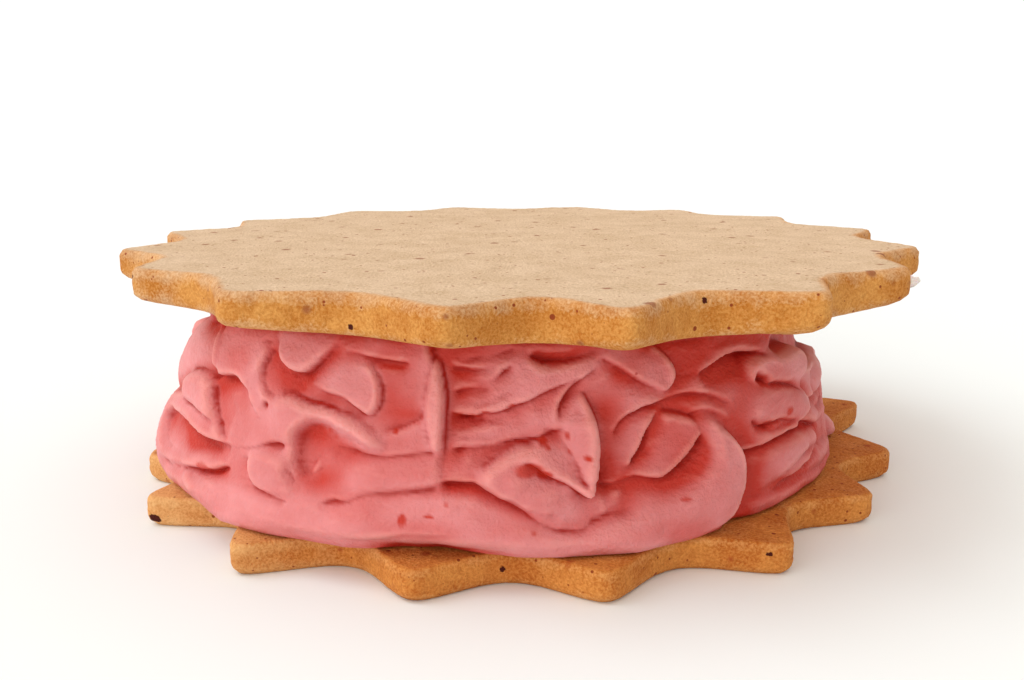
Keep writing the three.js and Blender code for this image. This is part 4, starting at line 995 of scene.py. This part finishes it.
def shape_cookie(name, cookie, middle, bottom, hang, seed, upper_rim, lower_rim, face_browned, pale_left):
    """A cookie with its browning painted on. Returns it with its points about its own middle, not yet moved:
    hang gives how far the underside hangs at each x, and the rims are the sizes of its rounded edges."""
    piece, co = drum(name, COOKIE_COLUMNS, SIDE_ROWS, middle, cookie["tip"], bottom, bottom + COOKIE_THICKNESS,
                     UNDERSIDE_RINGS, FACE_RINGS)
    outline = outline_of(cookie)
    degrees = np.degrees(np.arctan2(co[:, 1], co[:, 0]))
    degrees = (degrees - outline[1, 0]) % 360 + outline[1, 0]
    radius = np.interp(degrees, outline[:, 0], outline[:, 1])
    drop = np.interp(degrees, outline[:, 0], outline[:, 2])
    inner = np.hypot(co[:, 0], co[:, 1])
    up = co[:, 2]
    side, top, below = inner > 0.999, up > 0.999, up < 0.001
    angle = np.radians(degrees)
    unit = np.stack([np.cos(angle), np.sin(angle)], -1)
    nominal = unit * (inner * radius)[:, None]
    hangs = hang(nominal[:, 0])

    inset = (1 - inner) * radius
    z = np.where(up > 0.5, COOKIE_THICKNESS, 0.0)
    # upper rim: a quarter round that runs on into the top
    high_edge = COOKIE_THICKNESS - upper_rim * UPPER_RIM_TALL
    z = np.where(top, COOKIE_THICKNESS - upper_rim * UPPER_RIM_TALL * quarter_round(1 - inset / upper_rim), z)
    # underside: turns up towards the teeth
    under = -hangs * (drop + (1 - drop) * smooth(inset / UNDERSIDE_INSET))
    lower_rim = lower_rim + TIP_LOWER_RIM * (1 - drop) ** 3
    low_edge = -hangs * drop + lower_rim * LOWER_RIM_TALL
    z = np.where(below, under + lower_rim * LOWER_RIM_TALL * quarter_round(1 - inset / lower_rim), z)
    # side wall between the two
    z = np.where(side, low_edge + (high_edge - low_edge) * up, z)
    tuck = lower_rim * LOWER_RIM_WIDE * quarter_round(1 - up / LOWER_RIM_TO)
    over = upper_rim * UPPER_RIM_WIDE * quarter_round((up - UPPER_RIM_FROM) / 0.2)
    pull = np.where(side, tuck + over, 0)
    pull = np.where(top, upper_rim * UPPER_RIM_WIDE, pull)
    pull = np.where(below, lower_rim * LOWER_RIM_WIDE, pull)
    out = nominal - unit * (pull * np.clip(inner, 0, 1))[:, None]

    points = np.concatenate([out, z[:, None]], 1)
    # a hand-rolled, slightly uneven cookie, which stays within its nominal size
    wave = DOUGH_WAVE * soft_noise(points, size=DOUGH_WAVE_SIZE, seed=seed, octaves=2)
    grain = DOUGH_GRAIN * soft_noise(points, size=DOUGH_GRAIN_SIZE, seed=seed + 3, octaves=2)
    facing = np.where(side, 1.0, np.clip(1 - inset / 1.5, 0, 1))
    outwards = np.minimum(wave + grain, DOUGH_LIMIT) - DOUGH_INSET
    upwards = np.minimum((wave + 0.6 * grain) * smooth(inset / 1.0), DOUGH_LIMIT) - DOUGH_LIMIT
    points[:, :2] += unit * (outwards * facing)[:, None]
    points[:, 2] += np.where(top, upwards, 0)

    # the browning is strongest halfway up the side, and fades from the rim into the face
    patchy = soft_noise(points, size=3.0, seed=seed + 5, octaves=3)
    wall = ((1 - SIDE_PALER_ABOVE * smooth((up - 0.5) / 0.5))
            * (1 - SIDE_PALER_BELOW + SIDE_PALER_BELOW * smooth(up / 0.4)))
    face = np.maximum(RIM_BROWNED * smooth(1 - inset / RIM_BROWNED_REACH) ** 1.5, face_browned)
    browned = np.where(side, wall, np.where(top, face, UNDERSIDE_BROWNED)) + PATCHY_BROWNED * patchy
    browned -= pale_left * smooth((-points[:, 0] - PALE_FROM) / PALE_OVER)
    paint(piece, "browned", browned)
    burnt = np.zeros(len(points))
    for burnt_degrees, burnt_up, size in cookie["burnt"]:
        along = np.abs((degrees - burnt_degrees + 180) % 360 - 180) * np.radians(1) * radius
        tall = (up - burnt_up) * COOKIE_THICKNESS
        burnt = np.maximum(burnt, np.where(side, smooth(2.2 - 1.7 * np.hypot(along, tall) / size), 0))
    paint(piece, "burnt", burnt)
    return piece, points


bottom_cookie, points = shape_cookie(
    "golden_bottom_cookie", BOTTOM_COOKIE, (0, 0), 0, hang=lambda x: 0 * x, seed=1.0,
    upper_rim=0.45, lower_rim=0.6, face_browned=0.85, pale_left=0.6)
points[:, 2] = np.clip(points[:, 2], 0, COOKIE_THICKNESS)
move_points(bottom_cookie, points)

top_cookie, points = shape_cookie(
    "pale_top_cookie", TOP_COOKIE, TOP_SHIFT, COOKIE_THICKNESS + FILLING_THICKNESS, hang=belly, seed=5.0,
    upper_rim=0.7, lower_rim=0.4, face_browned=0.0, pale_left=0.1)
points[:, 2] = np.minimum(points[:, 2], COOKIE_THICKNESS)
lean_x, lean_y = math.atan(TOP_RISE_BACK), -math.atan(TOP_RISE_ACROSS)
turn_x = np.array([[1, 0, 0], [0, math.cos(lean_x), -math.sin(lean_x)], [0, math.sin(lean_x), math.cos(lean_x)]])
turn_y = np.array([[math.cos(lean_y), 0, math.sin(lean_y)], [0, 1, 0], [-math.sin(lean_y), 0, math.cos(lean_y)]])
points = points @ (turn_x @ turn_y).T + [*TOP_SHIFT, tips_of_top(*TOP_SHIFT)]
move_points(top_cookie, points)

ice_cream = shape_ice_cream()


# ---- crumb that clings to a tip of the upper cookie -----------------------------------------------------

CRUMB_TURN = 331.2
CRUMB_RADIUS = 52.1
CRUMB_HEIGHT = 29.1
CRUMB_SIZE = np.array([1.1, 0.7, 0.75])  # half of it each way


def shape_crumb():
    """A lumpy grain from a cube whose points are drawn out to a ball."""
    turn = math.radians(CRUMB_TURN)
    middle = np.array([TOP_SHIFT[0] + CRUMB_RADIUS * math.cos(turn), TOP_SHIFT[1] + CRUMB_RADIUS * math.sin(turn),
                       CRUMB_HEIGHT])
    bpy.ops.object.select_all(action="DESELECT")
    bpy.ops.mesh.primitive_cube_add(size=2 * CRUMB_SIZE[0] * MM, location=(middle + SHIFT) * MM)
    piece = bpy.context.object
    piece.name = piece.data.name = "loose_crumb"
    bpy.ops.object.transform_apply(location=True, rotation=True, scale=True)
    bpy.ops.object.mode_set(mode="EDIT")
    bpy.ops.mesh.select_all(action="SELECT")
    bpy.ops.mesh.subdivide(number_cuts=7, smoothness=1.0)
    bpy.ops.object.mode_set(mode="OBJECT")
    bpy.ops.object.shade_smooth()
    out = points_of(piece) / MM - SHIFT - middle
    out /= np.hypot(np.hypot(out[:, 0], out[:, 1]), out[:, 2])[:, None]
    lumps = 0.45 * soft_noise(out * 0.8, size=1.0, seed=11.0, octaves=3)
    grains = 0.15 * soft_noise(out, size=0.3, seed=12.0, octaves=2)
    move_points(piece, middle + out * CRUMB_SIZE * (1 + lumps + grains)[:, None])
    return piece


crumb = shape_crumb()


# ---- materials --------------------------------------------------------------------------------------------

def colour(hex_value):
    """Linear RGBA from an sRGB hex value."""
    parts = [int(hex_value[i:i + 2], 16) / 255 for i in (0, 2, 4)]
    return (*[c / 12.92 if c <= 0.04045 else ((c + 0.055) / 1.055) ** 2.4 for c in parts], 1.0)


def grey(value):
    return (value, value, value, 1.0)


def new_tree(owner):
    owner.use_nodes = True
    owner.node_tree.nodes.clear()
    return owner.node_tree


def add(tree, kind, inputs, stops=(), **settings):
    """Adds a node with its settings and links."""
    node = tree.nodes.new("ShaderNode" + kind)
    for key, value in settings.items():
        setattr(node, key, value)
    for index, (position, value) in enumerate(stops):
        elements = node.color_ramp.elements
        element = elements[index] if index < len(elements) else elements.new(position)
        element.position = position
        element.color = value
    for key, value in inputs.items():
        if isinstance(value, bpy.types.NodeSocket):
            tree.links.new(value, node.inputs[key])
        else:
            node.inputs[key].default_value = value
    return node


def flecks(tree, place, scale, channel, sizes, edge, strength):
    """How strongly a fleck shows at each place. There is one to a cell of 1 / scale metres. Its radius in cells
    goes by chance along the stops of sizes, and it comes to its full strength within edge cells of its rim."""
    cells = add(tree, "TexVoronoi", {"Vector": place, "Scale": scale}).outputs
    chance = add(tree, "SeparateColor", {"Color": cells["Color"]}).outputs[channel]
    radius = add(tree, "ValToRGB", {"Fac": chance}, sizes).outputs["Color"]
    inside = add(tree, "Math", {0: radius, 1: cells["Distance"]}, operation="SUBTRACT").outputs[0]
    return add(tree, "ValToRGB", {"Fac": inside}, [(0.0, grey(0)), (edge, grey(strength))]).outputs["Color"]


def shortbread(name, seed, face, face_dark, side, side_dark, fleck):
    """Baked butter dough with ground vanilla, rolled and cut: dry and matt. The eye gets a sandy grain, a face
    that is paler than the baked side, fine burnt specks and a few soft reddish flecks."""
    material = bpy.data.materials.new(name)
    tree = new_tree(material)
    place = add(tree, "TexCoord", {}).outputs["Object"]
    place = add(tree, "Mapping", {"Vector": place, "Location": (seed, seed * 0.7, 0)}).outputs["Vector"]
    browned = add(tree, "Attribute", {}, attribute_name="browned").outputs["Fac"]

    # the crumb is about 0.15 mm; it is drawn at 0.3 mm to show
    crumb = add(tree, "TexNoise", {"Vector": place, "Scale": 3400, "Detail": 3, "Roughness": 0.65}).outputs["Fac"]
    crumb_tone = add(tree, "ValToRGB", {"Fac": crumb}, [(0.36, grey(0)), (0.64, grey(1))]).outputs["Color"]
    # clouds of browning 3 to 8 mm across
    cloud = add(tree, "TexNoise", {"Vector": place, "Scale": 190, "Detail": 4, "Roughness": 0.6}).outputs["Fac"]
    cloud_tone = add(tree, "ValToRGB", {"Fac": cloud}, [(0.38, grey(0)), (0.62, grey(1))]).outputs["Color"]
    tone = add(tree, "Mix", {0: 0.42, 6: crumb_tone, 7: cloud_tone}, data_type="RGBA").outputs[2]
    face_tone = add(tree, "Mix", {0: 0.3, 6: crumb_tone, 7: cloud_tone}, data_type="RGBA").outputs[2]
    face_colour = add(tree, "Mix", {0: face_tone, 6: colour(face_dark), 7: colour(face)}, data_type="RGBA").outputs[2]
    side_colour = add(tree, "Mix", {0: tone, 6: colour(side_dark), 7: colour(side)}, data_type="RGBA").outputs[2]
    # the browning fades towards the face in a grainy way
    fade = add(tree, "Math", {0: crumb, 1: 0.5, 2: -0.1}, operation="MULTIPLY_ADD").outputs[0]
    fade = add(tree, "Math", {0: browned, 1: fade}, operation="SUBTRACT").outputs[0]
    fade = add(tree, "ValToRGB", {"Fac": fade}, [(0.0, grey(0)), (0.7, grey(1))]).outputs["Color"]
    dough = add(tree, "Mix", {0: fade, 6: face_colour, 7: side_colour}, data_type="RGBA").outputs[2]

    # soft reddish flecks about 1 mm across
    soft = flecks(tree, place, 330, "Red", [(0.4, grey(0)), (1.0, grey(0.28))], 0.12, 0.75)
    # burnt specks 0.2 to 0.7 mm across, about one to 8 square millimetres, a little fainter on the face
    speck = flecks(tree, place, 900, "Green",
                   [(0.35, grey(0)), (0.5, grey(0.12)), (0.96, grey(0.2)), (1.0, grey(0.3))], 0.05, 0.95)
    clear = add(tree, "ValToRGB", {"Fac": fade}, [(0.0, grey(0.8)), (0.6, grey(1))]).outputs["Color"]
    speck = add(tree, "Math", {0: speck, 1: clear}, operation="MULTIPLY").outputs[0]
    # the few marks where the dough has burnt
    burnt = add(tree, "Attribute", {}, attribute_name="burnt").outputs["Fac"]
    burnt = add(tree, "Math", {0: crumb, 1: -0.9, 2: burnt}, operation="MULTIPLY_ADD").outputs[0]
    burnt = add(tree, "ValToRGB", {"Fac": burnt}, [(0.1, grey(0)), (0.3, grey(1))]).outputs["Color"]
    for amount, tint in ((soft, fleck), (speck, "8c3816"), (burnt, "460f04")):
        dough = add(tree, "Mix", {0: amount, 6: dough, 7: colour(tint)}, data_type="RGBA").outputs[2]

    # sandy relief with small pits
    pits = add(tree, "TexVoronoi", {"Vector": place, "Scale": 480, "Smoothness": 0.5}, feature="SMOOTH_F1")
    pit = add(tree, "ValToRGB", {"Fac": pits.outputs["Distance"]}, [(0.05, grey(0)), (0.3, grey(1))]).outputs["Color"]
    height = add(tree, "Math", {0: crumb, 1: 1.6, 2: pit}, operation="MULTIPLY_ADD").outputs[0]
    bump = add(tree, "Bump", {"Height": height, "Strength": 0.8, "Distance": 0.0002}).outputs["Normal"]
    surface = add(tree, "BsdfPrincipled", {"Base Color": dough, "Roughness": 0.8, "IOR": 1.45, "Normal": bump,
                                           "Specular IOR Level": 0.25})
    add(tree, "OutputMaterial", {"Surface": surface.outputs[0]})
    return material


def strawberry_cream(name):
    """Churned strawberry ice cream: soft, fatty and slightly translucent. The eye gets a satin skin, light that
    bleeds through thin edges with a painted highlight on them, and creases, hollows and the part under the cookie
    painted deep red as shade."""
    material = bpy.data.materials.new(name)
    tree = new_tree(material)
    place = add(tree, "TexCoord", {}).outputs["Object"]
    crease, shade, crest, fruit = (add(tree, "Attribute", {}, attribute_name=tint).outputs["Fac"]
                                   for tint in ("crease", "shade", "crest", "fruit"))
    # clouds of two pinks, 5 to 10 mm across
    cloud = add(tree, "TexNoise", {"Vector": place, "Scale": 110, "Detail": 4, "Roughness": 0.55}).outputs["Fac"]
    tone = add(tree, "ValToRGB", {"Fac": cloud}, [(0.36, grey(0)), (0.64, grey(1))]).outputs["Color"]
    cream = add(tree, "Mix", {0: tone, 6: colour("d37a7a"), 7: colour("e09092")}, data_type="RGBA").outputs[2]
    # painted highlight: edges that stand out are painted paler, for the light that bleeds through them
    thin = add(tree, "Math", {0: crest, 1: 0.4}, operation="MULTIPLY").outputs[0]
    # fine fruit specks up to 0.4 mm across
    speck = flecks(tree, place, 420, "Red", [(0.8, grey(0)), (1.0, grey(0.1))], 0.04, 0.7)
    # painted shade, a painted highlight and painted crease shade are laid over the pinks, then the fruit and its
    # specks
    for amount, tint in ((shade, "c43a2e"), (thin, "f0aaa2"), (crease, "ac2016"), (fruit, "c02a12"),
                         (speck, "b02a22")):
        cream = add(tree, "Mix", {0: amount, 6: cream, 7: colour(tint)}, data_type="RGBA").outputs[2]
    # a skin of ice and air: grains of 0.1 mm, drawn at 0.4 mm to show, over soft swells
    grain = add(tree, "TexNoise", {"Vector": place, "Scale": 2200, "Detail": 3, "Roughness": 0.6}).outputs["Fac"]
    swell = add(tree, "TexNoise", {"Vector": place, "Scale": 420, "Detail": 3, "Roughness": 0.5}).outputs["Fac"]
    height = add(tree, "Math", {0: grain, 1: 0.8, 2: swell}, operation="MULTIPLY_ADD").outputs[0]
    bump = add(tree, "Bump", {"Height": height, "Strength": 0.8, "Distance": 0.0003}).outputs["Normal"]
    surface = add(tree, "BsdfPrincipled", {"Base Color": cream, "Roughness": 0.5, "IOR": 1.4, "Normal": bump,
                                           "Subsurface Weight": 0.5, "Subsurface Scale": 0.0006,
                                           "Subsurface Radius": (1.0, 0.35, 0.28), "Specular IOR Level": 0.35})
    add(tree, "OutputMaterial", {"Surface": surface.outputs[0]})
    return material


def sugar(name):
    """Pressed sugar: a dry white grain. The eye gets a bright, rough little lump that lets some light in."""
    material = bpy.data.materials.new(name)
    tree = new_tree(material)
    place = add(tree, "TexCoord", {}).outputs["Object"]
    # crystals of 0.2 mm
    grain = add(tree, "TexNoise", {"Vector": place, "Scale": 4500, "Detail": 2}).outputs["Fac"]
    white = add(tree, "ValToRGB", {"Fac": grain},
                [(0.35, colour("e2d8d2")), (0.65, colour("f6f2ee"))]).outputs["Color"]
    bump = add(tree, "Bump", {"Height": grain, "Strength": 0.8, "Distance": 0.0001}).outputs["Normal"]
    surface = add(tree, "BsdfPrincipled", {"Base Color": white, "Roughness": 0.6, "IOR": 1.54, "Normal": bump,
                                           "Subsurface Weight": 0.3, "Subsurface Scale": 0.0003})
    add(tree, "OutputMaterial", {"Surface": surface.outputs[0]})
    return material


def dress(piece, material, node=None):
    """Gives a piece its material, its body and the node that it takes the place of, if any."""
    piece.data.materials.clear()
    piece.data.materials.append(material)
    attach(piece, "root")
    if node:
        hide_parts(node)


dress(bottom_cookie, shortbread("golden_shortbread", 0.11, "efbc80", "d99c5c", "e39c4e", "b35f1e", "a5441a"),
      "bottom_cookie")
dress(top_cookie, shortbread("pale_shortbread", 0.37, "ead2b5", "c8ac88", "e2a559", "b66c20", "935234"),
      "top_cookie")
dress(ice_cream, strawberry_cream("strawberry_cream"), "ice_cream")
dress(crumb, sugar("sugar_crumb"))


# ---- stage ------------------------------------------------------------------------------------------------

SENSOR_WIDTH = 36  # mm
NEAREST_SEEN = 0.005
FLOOR_SIZE = 8


def aim(thing, place, target):
    """Stands a camera or a light at a place and points it at the target."""
    thing.location = place
    thing.rotation_euler = (Vector(target) - Vector(place)).to_track_quat("-Z", "Y").to_euler()


camera = bpy.data.objects.new("camera", bpy.data.cameras.new("camera"))
bpy.context.scene.collection.objects.link(camera)
camera.data.lens = CAMERA_LENS
camera.data.sensor_width = SENSOR_WIDTH
camera.data.clip_start = NEAREST_SEEN
aim(camera, (CAMERA_PLACE + SHIFT) * MM, (CAMERA_TARGET + SHIFT) * MM)
bpy.context.scene.camera = camera

# a sheet of matt white paper, which gives the eye a clean ground with a soft shadow
bpy.ops.mesh.primitive_plane_add(size=FLOOR_SIZE, location=(0, 0, 0))
floor = bpy.context.object
floor.name = "floor"
paper = bpy.data.materials.new("white_paper")
tree = new_tree(paper)
surface = add(tree, "BsdfPrincipled", {"Base Color": colour("f2fcff"), "Roughness": 0.9, "Specular IOR Level": 0.1})
add(tree, "OutputMaterial", {"Surface": surface.outputs[0]})
floor.data.materials.append(paper)

# a room that lights the part warmly from all round, and is plain white where it is seen
world = bpy.data.worlds.new("white_room")
bpy.context.scene.world = world
tree = new_tree(world)
seen = add(tree, "LightPath", {}).outputs["Is Camera Ray"]
around = add(tree, "Background", {"Color": (1.0, 0.88, 0.80, 1), "Strength": 0.68})
white = add(tree, "Background", {"Color": (1, 1, 1, 1), "Strength": 1.05})
both = add(tree, "MixShader", {0: seen, 1: around.outputs[0], 2: white.outputs[0]})
add(tree, "OutputWorld", {"Surface": both.outputs[0]})

# broad lights: a window on the left, the ceiling, and a white card at the front left
for name, place, power, spread, tint in (
        ("window", (-0.72, 0.0, 0.76), 0.95, 40, (0.97, 0.98, 1.0)),
        ("ceiling", (0.0, 0.05, 1.0), 0.68, 80, (1.0, 0.92, 0.84)),
        ("card", (-0.60, -0.76, 0.22), 1.25, 50, (1.0, 0.97, 0.93))):
    light = bpy.data.objects.new(name, bpy.data.lights.new(name, "SUN"))
    bpy.context.scene.collection.objects.link(light)
    light.data.energy = power
    light.data.angle = math.radians(spread)
    light.data.color = tint
    aim(light, place, (0, 0, 0.01))

bpy.context.scene.view_settings.view_transform = "Standard"
bpy.context.scene.view_settings.look = "None"
